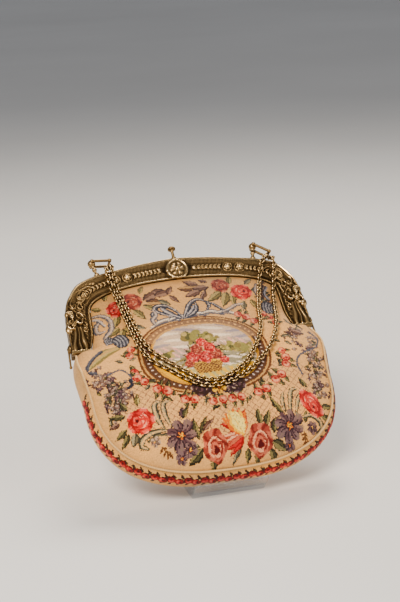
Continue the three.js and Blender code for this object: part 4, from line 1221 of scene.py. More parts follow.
strip_cloth = stitched(
    "embroidered_strip", strip_columns, strip_rows, lambda c, s: np.ones_like(c), strip_spot,
    aged(strip_chart, seed=13, edge=np.minimum(strip_chart.u, STRIP_WIDTH - strip_chart.u)), flip=False)
settle(strip_cloth, "purse", "embroidery", "bag_gusset")

# %% [markdown]
# ## The flat cuts
# Each cloth was cut flat before it was sewn in. A pattern cutter measures the widths across the swelling
# panel and lays them out one below the other, as far apart as they are down its middle. The strip's
# widths are measured over its bulge and laid out along the seam. These cuts come from the outlines and
# levels alone, and not from the finished meshes, so that the two areas can be set against each other.

# %% Flat cuts
CUT_ROWS, CUT_COLUMNS, STRIP_CUT_COLUMNS = 301, 201, 81
FRONT_COLUMN, BACK_COLUMN, BULGE_COLUMN = 2, 3, 4


def laid_out(widths, steps):
    between = (widths[1:] + widths[:-1]) / 2
    return (between * steps).sum() * MM**2


def panel_cut(level_of):
    v = np.linspace(PANEL_TOP, PANEL_BOTTOM, CUT_ROWS)[:, None]
    u = along_rows(v, HALF_WIDTH) * np.linspace(-1, 1, CUT_COLUMNS)
    level = level_of(u, v + 0 * u)
    widths = np.hypot(np.diff(u, axis=1), np.diff(level, axis=1)).sum(axis=1)
    steps = np.hypot(np.diff(v[:, 0]), np.diff(level[:, CUT_COLUMNS // 2]))
    return (widths.max() * MM, steps.sum() * MM), laid_out(widths, steps)


def strip_cut():
    share = np.linspace(0, 1, STRIP_CUT_COLUMNS)
    front, back, bulge = (seam[:, i:i + 1] for i in (FRONT_COLUMN, BACK_COLUMN, BULGE_COLUMN))
    out = bulge * (1 - (2 * share - 1) ** 2)
    across = (front - back - 2 * STRIP_INSET) * share
    widths = np.hypot(np.diff(out, axis=1), np.diff(across, axis=1)).sum(axis=1)
    return (seam_run[-1] * MM, widths.max() * MM), laid_out(widths, np.diff(seam_run))


CUTS = (
    (front_cloth, panel_cut(front_level)),
    (back_cloth, panel_cut(back_level)),
    (strip_cloth, strip_cut()),
)
for made, (flat, area) in CUTS:
    sewn = sum(face.area for face in made.data.polygons)
    print(made.name, "cut", np.round(flat, 4), "area", round(area, 5), "sewn", round(sewn, 5))

# %% [markdown]
# ## Gold seam cords
# A twisted gold cord covers each seam. Two round plies are wound about the seam line, which is what
# gives a real cord its slanting shine. A plain tube with bump would lose the notched outline.

# %% Seam cords
CORD_RADIUS, CORD_TWIST, CORD_STEP = 1.1, 3.4, 0.5
PLY_OFF, PLY_THICK, PLY_SIDES = 0.46, 0.54, 8


def tube_rings(centre, across, up, radius, sides):
    angle = np.arange(sides) * 2 * math.pi / sides
    ring = np.cos(angle)[:, None, None] * across + np.sin(angle)[:, None, None] * up
    return (centre + radius * ring).transpose(1, 0, 2)


def ring_faces(count, sides, closed=False, start=0):
    i, j = np.meshgrid(np.arange(count if closed else count - 1), np.arange(sides), indexing="ij")
    after, beside = (i + 1) % count, (j + 1) % sides
    faces = np.stack([i * sides + j, i * sides + beside, after * sides + beside, after * sides + j], -1)
    return (faces.reshape(-1, 4) + start).tolist()


def capped_faces(count, sides, start=0):
    """Faces of a tube of rings, with both ends closed."""
    ends = start + np.arange(sides)
    caps = [ends[::-1].tolist(), (ends + (count - 1) * sides).tolist()]
    return ring_faces(count, sides, start=start) + caps


def frames_along(path):
    along = np.gradient(path, axis=0)
    along /= np.linalg.norm(along, axis=1)[:, None]
    out = np.array([0.0, -HALF_ROOT, HALF_ROOT])
    side = np.cross(along, out)
    side /= np.linalg.norm(side, axis=1)[:, None]
    return along, side, np.cross(side, along)


gold_finish, tree, shader = finish("gold_thread", Metallic=0.25, Roughness=0.5, Sheen_Weight=0.1)
strand = knot(tree, "TexNoise", {"Scale": 900.0, "Detail": 3.0})
gold = ramp(tree, strand.outputs["Fac"], (0.3, (0.52, 0.32, 0.13)), (0.7, (0.92, 0.65, 0.34)))
tree.links.new(gold, shader.inputs["Base Color"])
grain = knot(tree, "Bump", {"Height": strand.outputs["Fac"], "Distance": 0.00006})
tree.links.new(grain.outputs["Normal"], shader.inputs["Normal"])


def seam_cord(name, column, node):
    run = np.linspace(0, seam_run[-1], round(seam_run[-1] / CORD_STEP))
    v, u, w = (np.interp(run, seam_run, seam[:, i]) for i in (0, 1, column))
    path = place(u, v, w)
    _, side, up = frames_along(path)
    points, faces = [], []
    for ply in (0, math.pi):
        angle = (run / CORD_TWIST * 2 * math.pi + ply)[:, None]
        centre = path + (np.cos(angle) * side + np.sin(angle) * up) * CORD_RADIUS * PLY_OFF * MM
        rings = tube_rings(centre, side, up, CORD_RADIUS * PLY_THICK * MM, PLY_SIDES)
        start = len(points) * rings.shape[0] * PLY_SIDES
        faces += capped_faces(len(rings), PLY_SIDES, start)
        points.append(rings.reshape(-1, 3))
    return settle(piece(name, np.vstack(points), faces, gold_finish), "purse", "gold_cord", node)


seam_cord("gold_cord_front", FRONT_COLUMN, "seam_cord_front")
seam_cord("gold_cord_back", BACK_COLUMN, "seam_cord_back")

# %% [markdown]
# ## The gilt finish
# Old gilt brass is bright where hands rub it and nearly black in the hollows. The frame's mesh keeps a
# value at each point, worked out from how high it stands, and the finish turns that value into colour and
# gloss. The value
# is partly wear and partly painted light: painted highlights on high points and ledges, and painted shade.

# %% Gilt


def gilt_finish(name, even=None):
    """Aged gilt; even is the brightness of a plain piece, and other pieces keep it at each point as wear
    and painted light.
    """
    made, tree, shader = finish(name, Metallic=1.0, Roughness=0.3)
    cloudy = knot(tree, "TexNoise", {"Scale": 160.0, "Detail": 6.0, "Roughness": 0.65})
    fine = knot(tree, "TexNoise", {"Scale": 1400.0, "Detail": 3.0})
    # Per point, the value is partly rubbed wear and patina, partly painted highlight and painted shade.
    base = even or knot(tree, "Attribute", attribute_name="wear_and_painted_light").outputs["Fac"]
    clouds = figure(tree, "SUBTRACT", cloudy.outputs["Fac"], 0.5)
    wear_and_light = figure(tree, "ADD", figure(tree, "MULTIPLY", clouds, 0.55), base)
    colour = ramp(
        tree, wear_and_light, (0.0, (0.018, 0.011, 0.006)), (1.0, (0.78, 0.57, 0.31)),
        (0.35, (0.135, 0.086, 0.04)), (0.65, (0.37, 0.245, 0.115)))
    tree.links.new(colour, shader.inputs["Base Color"])
    tree.links.new(ramp(tree, wear_and_light, (0.0, (0.6,) * 3), (1.0, (0.2,) * 3)), shader.inputs["Roughness"])
    bump = knot(tree, "Bump", {"Height": fine.outputs["Fac"], "Distance": 0.00004, "Strength": 0.6})
    tree.links.new(bump.outputs["Normal"], shader.inputs["Normal"])
    return made


# Stores each point's gilt value: rubbed wear with painted highlight and painted shade.
def keep_wear_and_painted_light(made, values):
    layer = made.data.attributes.new("wear_and_painted_light", "FLOAT", "POINT")
    layer.data.foreach_set("value", np.asarray(values, np.float32))


relief_gilt = gilt_finish("gilt_relief")
plain_gilt = gilt_finish("gilt_plain", even=0.38)
turned_gilt = gilt_finish("gilt_turned", even=0.54)
print("gilt ready")

# %% [markdown]
# ## The frame's relief
# The cast ornament is low relief, so it is drawn as a height over the band: leaves, rosettes, scrolls
# and a draped figure at each end are domes and grooves, and at each point the highest one counts. The
# band is swept along the same two edge curves as the solid.

# %% Relief of the band
BAND_STEPS, BAND_ACROSS = 820, 58
GROUND_LEVEL, FOOT_LEVEL = 4.2, 0.2
FRONT_PROFILE = np.array([
    # share from the outer edge to the inner one, height
    (0, 4.0), (0.015, 4.75), (0.035, 5.0), (0.06, 4.9), (0.075, 4.4), (0.1, 4.72), (0.14, 4.85),
    (0.23, 4.75), (0.295, 4.5), (0.315, 4.2), (0.335, 4.5), (0.355, 4.25), (0.38, 4.05), (0.62, 4.05),
    (0.645, 4.25), (0.665, 4.5), (0.685, 4.25), (0.73, 4.5), (0.8, 4.45), (0.825, 4.15), (0.85, 4.75),
    (0.87, 4.45), (0.89, 4.2), (0.925, 5.1), (0.965, 5.15), (0.985, 4.9), (1.0, 4.2),
])
RECESS_PROFILE = np.array([
    # the same for the end panels, which are sunk behind the figures
    (0, 4.0), (0.015, 4.75), (0.035, 5.0), (0.06, 4.9), (0.09, 4.0), (0.88, 4.0), (0.925, 4.7),
    (0.965, 4.9), (1.0, 4.2),
])
MEDALLION_V, MEDALLION_RADIUS = 67, 9.3
band_share = np.linspace(0, 1, BAND_STEPS + 1)
band_outer, band_inner = spline(arch([0, 1]), band_share), spline(arch([2, 3]), band_share)
across = np.linspace(0, 1, BAND_ACROSS + 1)


def swept(outer, inner, shares):
    """Places at shares of the way from the outer edge to the inner one, along the whole arch."""
    return outer[:, None] + (inner - outer)[:, None] * shares[None, :, None]


def run_along(line):
    return np.concatenate([[0], np.cumsum(np.linalg.norm(np.diff(line, axis=0), axis=1))])


band = swept(band_outer, band_inner, across)
band_u, band_v = band[..., 0], band[..., 1]
middle_line = band_outer + (band_inner - band_outer) * 0.5
middle_run = run_along(middle_line)


def on_garland(along, side):
    """Place and heading on the band's middle line, at a share of the half arch from the top."""
    at = (0.5 + side * along / 2) * middle_run[-1]
    spot = np.array([np.interp(at, middle_run, middle_line[:, i]) for i in (0, 1)])
    ahead = np.array([np.interp(at + side, middle_run, middle_line[:, i]) for i in (0, 1)])
    return spot, math.atan2(*(ahead - spot)[::-1])


def rounded(share):
    return np.sqrt((1 - share**2).clip(0))


class Relief:
    def __init__(self, u, v):
        self.u, self.v, self.rise = u, v, np.zeros_like(u)

    def near(self, u, v, turn=0.0):
        cos, sin = math.cos(turn), math.sin(turn)
        du, dv = self.u - u, self.v - v
        return du * cos + dv * sin, dv * cos - du * sin

    def top(self, height):
        self.rise = np.maximum(self.rise, height)

    def dome(self, u, v, half_u, half_v, height, turn=0.0):
        x, y = self.near(u, v, turn)
        self.top(height * np.sqrt((1 - (x / half_u) ** 2 - (y / half_v) ** 2).clip(0)))

    def husk(self, u, v, length, width, height, turn):
        x, y = self.near(u, v, turn)
        share = (x / length + 0.5).clip(0, 1)
        half = width / 2 * np.sin(math.pi * share ** 0.75).clip(1e-3)
        body = (1 - (y / half) ** 2).clip(0) ** 0.6 * (np.abs(x) < length / 2)
        vein = 1 - 0.45 * np.exp(-(y / 0.22) ** 2) - 0.18 * np.cos(x * 5.2 + np.abs(y) * 4)
        self.top(height * body * vein)

    def rosette(self, u, v, radius, height, petals=6):
        x, y = self.near(u, v)
        away, angle = np.hypot(x, y) / radius, np.arctan2(y, x)
        edge = 0.82 + 0.18 * np.abs(np.cos(angle * petals / 2))
        fold = 0.62 + 0.38 * np.abs(np.cos(angle * petals / 2)) ** 0.7
        self.top(height * ((1 - (away / edge) ** 4).clip(0) * fold))
        self.dome(u, v, radius * 0.34, radius * 0.34, height * 1.35)

    def bead_line(self, points, width, height):
        away, _, _ = away_from(spline(points, np.linspace(0, 1, 8 * len(points))), self.u, self.v)
        self.top(height * rounded(away / (width / 2)))


relief = Relief(band_u, band_v)
GARLAND = [
    # along the half arch, rosette radius or 0 for a pair of husks
    (0.11, 0), (0.135, 0), (0.16, 0), (0.185, 0), (0.21, 0), (0.235, 0), (0.26, 0), (0.31, 3.4),
    (0.385, 3.7), (0.43, 0), (0.455, 0), (0.48, 0), (0.505, 0), (0.53, 0), (0.555, 0), (0.6, 3.4),
    (0.64, 0), (0.665, 0),
]
HUSK_LENGTH, HUSK_WIDTH, HUSK_RISE, HUSK_APART, HUSK_TURN = 4.3, 1.8, 1.05, 1.25, 0.55
for side in (-1, 1):
    for along, radius in GARLAND:
        (u, v), heading = on_garland(along, -side)
        if radius:
            relief.rosette(u, v, radius, 1.25)
            x, y = relief.near(u, v)
            relief.top(0.8 * rounded((np.hypot(x, y) - radius - 0.5) / 0.4))
            continue
        normal = np.array([-math.sin(heading), math.cos(heading)])
        for lean in (-1, 1):
            spot = np.array([u, v]) + normal * lean * HUSK_APART
            relief.husk(*spot, HUSK_LENGTH, HUSK_WIDTH, HUSK_RISE, heading + lean * HUSK_TURN)
        relief.dome(u, v, 0.75, 0.75, 1.2)
print("garland rows", len(GARLAND), "highest", relief.rise.max().round(2), "mm")

# %% [markdown]
# ## Medallion and end figures
# A ringed medallion sits in the middle, with a plain rosette in its dish. At each end a small draped
# figure stands on a ledge under a scroll. The figure is kept general: a bowed head with gathered hair,
# a round face, one arm bent to the waist, the other held out, and a long pleated skirt.

# %% Medallion, scrolls and figures
DISH_RISE, PETAL_REACH = 1.15, 6.2
away, turn_round = polar(band_u, band_v - MEDALLION_V)
dish = away < MEDALLION_RADIUS
relief.rise[dish] = 0
relief.top(np.where(dish, DISH_RISE, 0))
relief.top(np.maximum(1.9 * rounded((away - 8.5) / 0.85), 1.5 * rounded((away - 6.9) / 0.35)))
petal = np.abs(np.cos(turn_round * 3)) ** 0.8
petal = petal * np.sin(np.clip(away / PETAL_REACH, 0, 1) * math.pi) ** 0.8 * (away < PETAL_REACH)
relief.top(np.where(dish, DISH_RISE + petal, 0))
relief.top(2.5 * rounded(away / 2.1))

SCROLLS = [
    # points (u, v) on the right half, width, height
    ([(72, 58), (77, 59.5), (82, 57.5), (86, 53.5), (87, 50), (84.5, 48), (82, 49.5), (83, 52)], 1.3, 1.1),
    ([(80, 56), (84, 57), (88.5, 54.5), (91.5, 50), (93.5, 45.5), (92.5, 41.5), (90, 41), (89.6, 43.2)],
     1.0, 1.1),
    ([(84, 57), (86, 60), (89, 59)], 0.9, 0.9), ([(88.5, 54.5), (91.5, 55.5), (93.5, 53)], 0.9, 0.9),
    ([(80.5, 50), (83, 46.5), (86.5, 45), (88.2, 42), (86.4, 39.6), (84.2, 40.6), (84.8, 42.6)], 1.1, 1.1),
    ([(86.6, 29), (85.2, 32.5), (87.2, 36), (89.6, 36.6), (90.2, 34.4)], 1.0, 1.1),
    ([(84.2, 34.5), (82.8, 38.5), (82, 43)], 0.9, 0.9),
    ([(83.2, 26), (83.0, 21.5), (85.2, 18.6), (87, 20.4), (86, 22.6), (84.6, 21.6)], 1.1, 1.2),
]
FIGURE = [
    # u, v, halfU, halfV, height
    (94.4, 34.4, 2.5, 3.1, 2.4), (95.0, 36.8, 3.0, 2.3, 2.3), (97.2, 37.4, 1.5, 1.5, 2.1),
    (94.2, 30.9, 1.3, 1.7, 1.6), (94.0, 27.0, 3.0, 3.8, 1.8), (96.7, 28.7, 1.8, 2.1, 1.9),
    (91.5, 28.5, 1.7, 2.0, 1.8),
]
FACE = [
    # u, v, halfU, halfV, height
    (94.2, 33.9, 0.45, 1.0, 2.72), (93.2, 33.3, 0.75, 0.75, 2.42), (95.2, 33.3, 0.75, 0.75, 2.42),
    (94.2, 32.4, 0.75, 0.3, 2.38), (94.2, 31.8, 0.65, 0.45, 2.15),
]
ARMS = [
    # points (u, v) on the right half, width, height
    ([(97, 28.6), (98.8, 25), (97, 22.4), (94.2, 22.8)], 2.0, 2.2),
    ([(91.2, 28.6), (89, 26.4), (87.2, 27.4), (86.4, 30)], 1.9, 2.0),
]
EYES, HAIR, CHEST = (93.15, 95.25, 34.7), (95.0, 36.8), (94.0, 26.6)
WAIST, HEM, SKIRT_U, SKIRT_TOP, SKIRT_FLARE, PLEATS = 24.0, 3.0, 92.6, 2.6, 5.0, 3.2
for side in (-1, 1):
    for points, width, height in SCROLLS + ARMS:
        relief.bead_line([(side * u, v) for u, v in points], width, height)
    for share in np.linspace(0, 1, 9):
        u, v = spline([(71, 62.5), (79, 61.5), (86.5, 57), (93, 49)], [share])[0]
        relief.husk(side * u, v, 3.6, 1.7, 0.9, math.atan2(0.75 - 1.5 * share, side * -0.9))
    relief.rosette(side * 85.0, 50.2, 2.2, 1.3, 5)
    for u, v, half_u, half_v, height in FIGURE + FACE:
        relief.dome(side * u, v, half_u, half_v, height)
out_u = np.abs(band_u)
eyes = sum(
    np.exp(-(((out_u - u) / 0.4) ** 2 + ((band_v - EYES[2]) / 0.28) ** 2)) for u in EYES[:2])
hair = (np.hypot((out_u - HAIR[0]) / 3.0, (band_v - HAIR[1]) / 2.3) < 1) & (band_v > 35.6)
relief.rise -= 0.4 * eyes + 0.3 * hair * (np.sin((out_u - HAIR[0]) * 4.2 + band_v * 1.5) > 0.2)
bodice = np.hypot((out_u - CHEST[0]) / 3.4, (band_v - CHEST[1]) / 4) < 1
relief.rise -= 0.7 * bodice * np.abs(np.sin((out_u * 1.1 + band_v) * 1.3)) ** 4
fall = ((WAIST - band_v) / (WAIST - HEM)).clip(0, 1)
across_skirt = (out_u - SKIRT_U + 1.6 * (1 - fall)) / (SKIRT_TOP + SKIRT_FLARE * fall ** 0.7)
skirt = (np.abs(across_skirt) < 1) & (band_v < WAIST) & (band_v > HEM - 0.5)
bent = across_skirt + 0.07 * np.sin(band_v * 0.42 + 2 * across_skirt)
pleat = (0.5 + 0.5 * np.cos(bent * PLEATS * math.pi + 0.9 * np.sin(bent * 5))) ** 1.3
folds = (0.45 + 1.75 * pleat * (0.4 + 0.6 * fall)) * (1 - across_skirt**2).clip(0) ** 0.3
relief.top(np.where(skirt, folds, 0))
LATTICE, LATTICE_SLANT = 3.4, 0.9
rising = np.abs((out_u + band_v * LATTICE_SLANT) % LATTICE - LATTICE / 2)
falling = np.abs((out_u - band_v * LATTICE_SLANT) % LATTICE - LATTICE / 2)
lattice = np.minimum(rising, falling)
behind = (band_v < 45) & (band_v > 3) & (relief.rise < 0.3)
relief.top(np.where(behind, 0.42 * (1 - lattice / 0.55).clip(0), 0))
LEDGE_TOP, LEDGE_RISE = 3.0, 1.75
relief.top(np.where(band_v < LEDGE_TOP, LEDGE_RISE * smooth_step((LEDGE_TOP - band_v) / 0.5), 0))
print("relief height up to", relief.rise.max().round(2), "mm")

# %% [markdown]
# ## Casting the front half
# The relief fades at the two rims, and a fine pitted ground is left between the ornaments, as punched
# brass has. The band's walls and back close the mesh, and posts, elbows and collar are added to it.

# %% Front half of the frame
FRONT_MIDDLE = 2.6
POST = {"u": 66.5, "v": 69.8, "tilt": math.radians(12), "ball": 3.2, "ball_height": 12.2}
PUSHER_SEAT = 78


def lathe(profile, sides, spot, tilt=0.0):
    """Points and faces of a profile (radius, height) turned about the purse's v direction at a spot."""
    profile = np.asarray(profile, float)
    angle = np.arange(sides) * 2 * math.pi / sides
    radius, height = profile[:, :1], profile[:, 1:]
    u, w = radius * np.cos(angle), radius * np.sin(angle)
    v = height + 0 * u
    u, v = u * math.cos(tilt) + v * math.sin(tilt), v * math.cos(tilt) - u * math.sin(tilt)
    points = place(u + spot[0], v + spot[1], w + spot[2]).reshape(-1, 3)
    return points, [face[::-1] for face in capped_faces(len(profile), sides)]


def globe(centre, radii, sides=24):
    """Points and faces of an ellipsoid in the purse plane."""
    lat = np.linspace(-math.pi / 2, math.pi / 2, sides // 2 + 1)[1:-1]
    lon = np.arange(sides) * 2 * math.pi / sides
    u = centre[0] + radii[0] * np.cos(lat)[:, None] * np.cos(lon)
    v = centre[1] + radii[1] * np.cos(lat)[:, None] * np.sin(lon)
    w = centre[2] + radii[2] * np.sin(lat)[:, None] + 0 * u
    return place(u, v, w).reshape(-1, 3), capped_faces(len(lat), sides)


def gathered(parts):
    points, faces, start = [], [], 0
    for some_points, some_faces in parts:
        points.append(some_points)
        faces += [[i + start for i in face] for face in some_faces]
        start += len(some_points)
    return np.vstack(points), faces


def arc_profile(radius, height, start, end, steps=10):
    return [(radius * math.cos(a), height + radius * math.sin(a)) for a in np.linspace(start, end, steps)]


draw = np.random.default_rng(5)
pits = draw.normal(0, 0.05, band_u.shape) * (relief.rise < 0.25)
inside_rims = smooth_step((across - 0.12) / 0.05) * smooth_step((0.83 - across) / 0.05)
free_rise = np.maximum(relief.rise * inside_rims, np.where(dish, relief.rise, 0))
over_rims = (band_v < LEDGE_TOP) | (out_u > 84) & (band_v < 48)
free_rise = np.maximum(free_rise, np.where(over_rims, relief.rise, 0))
moulded = np.interp(across, FRONT_PROFILE[:, 0], FRONT_PROFILE[:, 1])
recessed = np.interp(across, RECESS_PROFILE[:, 0], RECESS_PROFILE[:, 1])
base = moulded + (recessed - moulded) * smooth_step((56 - band_v) / 10) * (out_u > 60)
ground = np.where((across > 0.09) & (across < 0.87), pits, 0)
worked = np.cos(out_u * 3.3 + band_v * 2.1) * np.cos(out_u * 2.3 - band_v * 3.1)
base = base + 0.28 * worked * smooth_step((50 - band_v) / 6) * (across > 0.5) * (across < 0.97)
face_level = np.maximum(base + ground, np.where(free_rise > 0.02, GROUND_LEVEL + free_rise, 0))
wall = np.array([FOOT_LEVEL, 2.0, 3.4])
walls = np.repeat(wall[None], BAND_STEPS + 1, 0)
levels = np.concatenate([walls, face_level, walls[:, ::-1]], 1)
shares = np.concatenate([0 * wall, across, 0 * wall + 1])
ring_uv = swept(band_outer, band_inner, shares)
band_points = place(ring_uv[..., 0], ring_uv[..., 1], levels).reshape(-1, 3)
band_faces = capped_faces(BAND_STEPS + 1, levels.shape[1])
BLUR = 6
shifts = range(-BLUR, BLUR + 1, 2)
blur = np.pad(face_level, BLUR, mode="edge")
blur = sum(np.roll(np.roll(blur, i, 0), j, 1) for i in shifts for j in shifts)
blur = blur[BLUR:-BLUR, BLUR:-BLUR] / len(shifts) ** 2
# Wear and painted light for the gilt: points above their surroundings lighter (rubbed wear and painted
# highlight), hollows darker (patina and painted shade), the top lighter than the arms (painted light), a
# painted highlight on the ledges and along the upper outer rim, and darker along the inner side of the
# arms; the worked and hatched marks are chasing.
wear_and_painted_light = 0.4 + (face_level - blur) * 0.62 + (face_level - GROUND_LEVEL) * 0.05
along_band = run_along(band_outer)[:, None]
hatched = np.cos(along_band * 6 + 9 * across) * np.cos(along_band * 2.3)
wear_and_painted_light += np.where(band_v < 47, 0.16 * worked - 0.08, 0.09 * hatched) + 0.22 * (band_v < LEDGE_TOP)
wear_and_painted_light -= 0.14 * (across > 0.8) * smooth_step((54 - band_v) / 4)
wear_and_painted_light += 0.4 * np.exp(-((across - 0.07) / 0.03) ** 2) * smooth_step((band_v - 46) / 6)
wear_and_painted_light = wear_and_painted_light.clip(0.06, 0.97)
# The walls get even values, the inner one a little darker than the outer one.
wear_and_painted_light = np.concatenate([np.full_like(walls, 0.5), wear_and_painted_light, np.full_like(walls, 0.4)], 1).ravel()

COLLAR = [
    # radius, height
    (0.1, -1.5), (2.2, -1.5), (2.2, 0.9), (2.05, 1.25), (1.75, 1.4), (0.1, 1.4),
]
POST_PROFILE = [
    # radius, height
    (0.1, -3), (1.5, -3), (2.2, 0), (2.35, 0.4), (2.35, 1.2), (2.1, 1.6), (1.35, 2.2), (1.15, 3.2),
    (1.2, 4.4), (1.75, 5.0), (2.0, 5.5), (2.0, 6.1), (1.7, 6.6), (1.25, 7.4),
]
ELBOWS = [
    # u, v, w, halfU, halfV, halfW
    (98.4, 22.6, 3.6, 3.0, 3.8, 1.9), (98.0, 28.6, 3.4, 2.0, 2.8, 1.8), (97.4, 36.2, 3.4, 2.4, 3.0, 1.7),
]
parts = [(band_points, band_faces), lathe(COLLAR, 40, (0, PUSHER_SEAT, FRONT_MIDDLE))]
for side in (-1, 1):
    ball = arc_profile(POST["ball"], POST["ball_height"], -1.12, math.pi / 2 - 0.03)
    foot = (side * POST["u"], POST["v"], FRONT_MIDDLE)
    parts.append(lathe(POST_PROFILE + ball, 36, foot, side * POST["tilt"]))
    parts += [globe((side * row[0], row[1], row[2]), row[3:]) for row in ELBOWS]
points, faces = gathered(parts)
frame_relief = piece("frame_relief", points, faces, relief_gilt)
shine = np.full(len(points), 0.66)
shine[:len(wear_and_painted_light)] = wear_and_painted_light
keep_wear_and_painted_light(frame_relief, shine)
settle(frame_relief, "purse", "gilt", "frame_front")

# %% [markdown]
# ## The plain back half
# The back half lies behind and isn't seen in the photo, so it is a guess: one plain section with two
# scribed lines, swept along the same arch. A bevelled curve could do it too, but rings of points close
# it cleanly.

# %% Back half of the frame
BACK_STEPS = 260
BACK_PROFILE = np.array([
    # share from the outer edge to the inner one, level
    (1, -0.2), (1, -4.6), (0.985, -5.3), (0.955, -5.8), (0.92, -6), (0.86, -6), (0.84, -5.75), (0.82, -6),
    (0.18, -6), (0.16, -5.75), (0.14, -6), (0.08, -6), (0.045, -5.8), (0.015, -5.3), (0, -4.6), (0, -0.2),
])
share = np.linspace(0, 1, BACK_STEPS + 1)
ring_uv = swept(spline(arch([0, 1]), share), spline(arch([2, 3]), share), BACK_PROFILE[:, 0])
points = place(ring_uv[..., 0], ring_uv[..., 1], BACK_PROFILE[:, 1]).reshape(-1, 3)
faces = capped_faces(BACK_STEPS + 1, len(BACK_PROFILE))
settle(piece("frame_plain", points, faces, plain_gilt, crisp=50), "purse", "gilt_plain", "frame_back")

# %% [markdown]
# ## Clasp knob, hinges and shackles
# These are small turned and bent pieces. The knob is turned like the solid, with more steps in its
# rolled rim. Each hinge is a domed rivet with a drop below it. Each shackle is a wire loop with ball
# corners.

# %% Knob, hinges and shackles
KNOB = [
    # radius, height
    (0.1, -4.5), (1.2, -4.5), (1.2, 7.0), (1.35, 7.5), (1.8, 8.4), (2.7, 8.75), (3.15, 9.0), (3.25, 9.25),
    (3.25, 10.0), (3.15, 10.3), (2.6, 11.0), (2.0, 11.55), (1.4, 11.9), (0.7, 12.08), (0.1, 12.1),
]
points, faces = lathe(KNOB, 48, (0, PUSHER_SEAT, FRONT_MIDDLE))
settle(piece("push_knob", points, faces, turned_gilt, crisp=40), "pusher", "gilt", "clasp_pusher")


def wire(start, end, radius, sides=14):
    """Points and faces of a round bar between two places of the purse plane."""
    run = np.subtract(end, start).astype(float)
    run /= np.linalg.norm(run)
    first = np.cross(run, (0.31, 0.52, 0.8))
    first /= np.linalg.norm(first)
    second = np.cross(run, first)
    angle = np.arange(sides) * 2 * math.pi / sides
    ring = radius * (np.cos(angle)[:, None] * first + np.sin(angle)[:, None] * second)
    spots = np.vstack([np.asarray(start) + ring, np.asarray(end) + ring])
    return place(*spots.T), capped_faces(2, sides)


HINGE_U, HINGE_V, TAIL, SPLAY = 100.4, 7, 16, 2
SHACKLE_LENGTH, SHACKLE_SPAN, SHACKLE_WIRE, SHACKLE_BALL = 14.5, 4.5, 1.15, 1.7
for side, name, aim in ((-1, "left", math.radians(-4)), (1, "right", math.radians(-36))):
    rivet = globe((side * HINGE_U, HINGE_V, 0), (1.8, 3.6, 3.6), 28)
    rivet_head = globe((side * (HINGE_U + 1.1), HINGE_V, 0), (1.2, 1.7, 1.7))
    root = (side * (HINGE_U + 1.2), HINGE_V, 0)
    tip = (side * (HINGE_U + SPLAY), HINGE_V - TAIL, 0)
    drop = globe(tip, (1.3,) * 3, 18)
    ring = globe((side * (HINGE_U + 1.75), HINGE_V - 10, 0), (1.05, 0.6, 1.05), 16)
    points, faces = gathered([rivet, rivet_head, wire(root, tip, 0.8), drop, ring])
    hinge = piece("hinge_rivet_" + name, points, faces, turned_gilt, crisp=60)
    settle(hinge, "purse", "gilt", "hinge_" + name)
    u = side * (POST["u"] + math.sin(POST["tilt"]) * POST["ball_height"])
    v = POST["v"] + math.cos(POST["tilt"]) * POST["ball_height"]
    far_u, far_v = u + math.cos(aim) * SHACKLE_LENGTH, v + math.sin(aim) * SHACKLE_LENGTH
    near_w, far_w = FRONT_MIDDLE - SHACKLE_SPAN, FRONT_MIDDLE + SHACKLE_SPAN
    corners = [(u, v, near_w), (u, v, far_w), (far_u, far_v, far_w), (far_u, far_v, near_w)]
    runs = [wire(a, b, SHACKLE_WIRE) for a, b in zip(corners, corners[1:] + corners[:1])]
    points, faces = gathered(runs + [globe(c, (SHACKLE_BALL,) * 3, 18) for c in corners])
    shackle = piece("shackle_bail_" + name, points, faces, turned_gilt, crisp=60)
    settle(shackle, "purse", "gilt", "shackle_" + name)

# %% [markdown]
# ## The carrying chain
# Two strands of oval cable links run between the shackles and lie on the cloth. The routes are those
# of the solids. One link is drawn, then set out along the route with every other link turned a quarter,
# so that each passes through its neighbours.

# %% Chain routes
CHAIN_LIFT = 2.6
CHAIN_INNER = [
    # u, v, and a level where it doesn't lie on the cloth
    (-54.6, 78.2, 5), (-54.4, 74, 7.4), (-54.8, 68, 9), (-54.6, 60, 8.6), (-54, 53, 7.8), (-52.4, 41),
    (-50.2, 17), (-47.4, -9), (-41.4, -22), (-31, -34), (-19.6, -45.6), (-9.4, -52.6), (-1, -54),
    (11, -51), (23.7, -43.5), (34.3, -32.6), (48.4, -9), (55.7, 17.7), (63, 40), (67, 52, 7.9),
    (71, 62, 9), (75.6, 68, 8.8), (79.4, 71.1, 4.4),
]
CHAIN_OUTER = [
    # u, v, and a level where it doesn't lie on the cloth
    (-55, 77.6, 0.6), (-58.4, 74.2, 6), (-59.2, 69, 8.9), (-58.8, 60, 8.6), (-58.2, 53, 7.8), (-56.4, 41),
    (-54.3, 17), (-51.8, -10), (-46.9, -25.7), (-34.4, -39), (-21.7, -51), (-11.5, -57.6), (-2.3, -59),
    (11.1, -56.7), (26.1, -49.6), (40.1, -38.3), (51.2, -27), (63.2, -6), (70.6, 18.5), (74.6, 36, 7.9),
    (78.4, 50, 9), (80.6, 60, 9), (81.6, 66, 7.6), (81.4, 70.4, 0.2),
]


def rested(row):
    if len(row) == 3:
        return row
    u, v = row
    slope_u, slope_v = slopes(front_level, u, v, step=0.5)
    return u, v, float(front_level(u, v) + CHAIN_LIFT * math.sqrt(1 + slope_u**2 + slope_v**2))


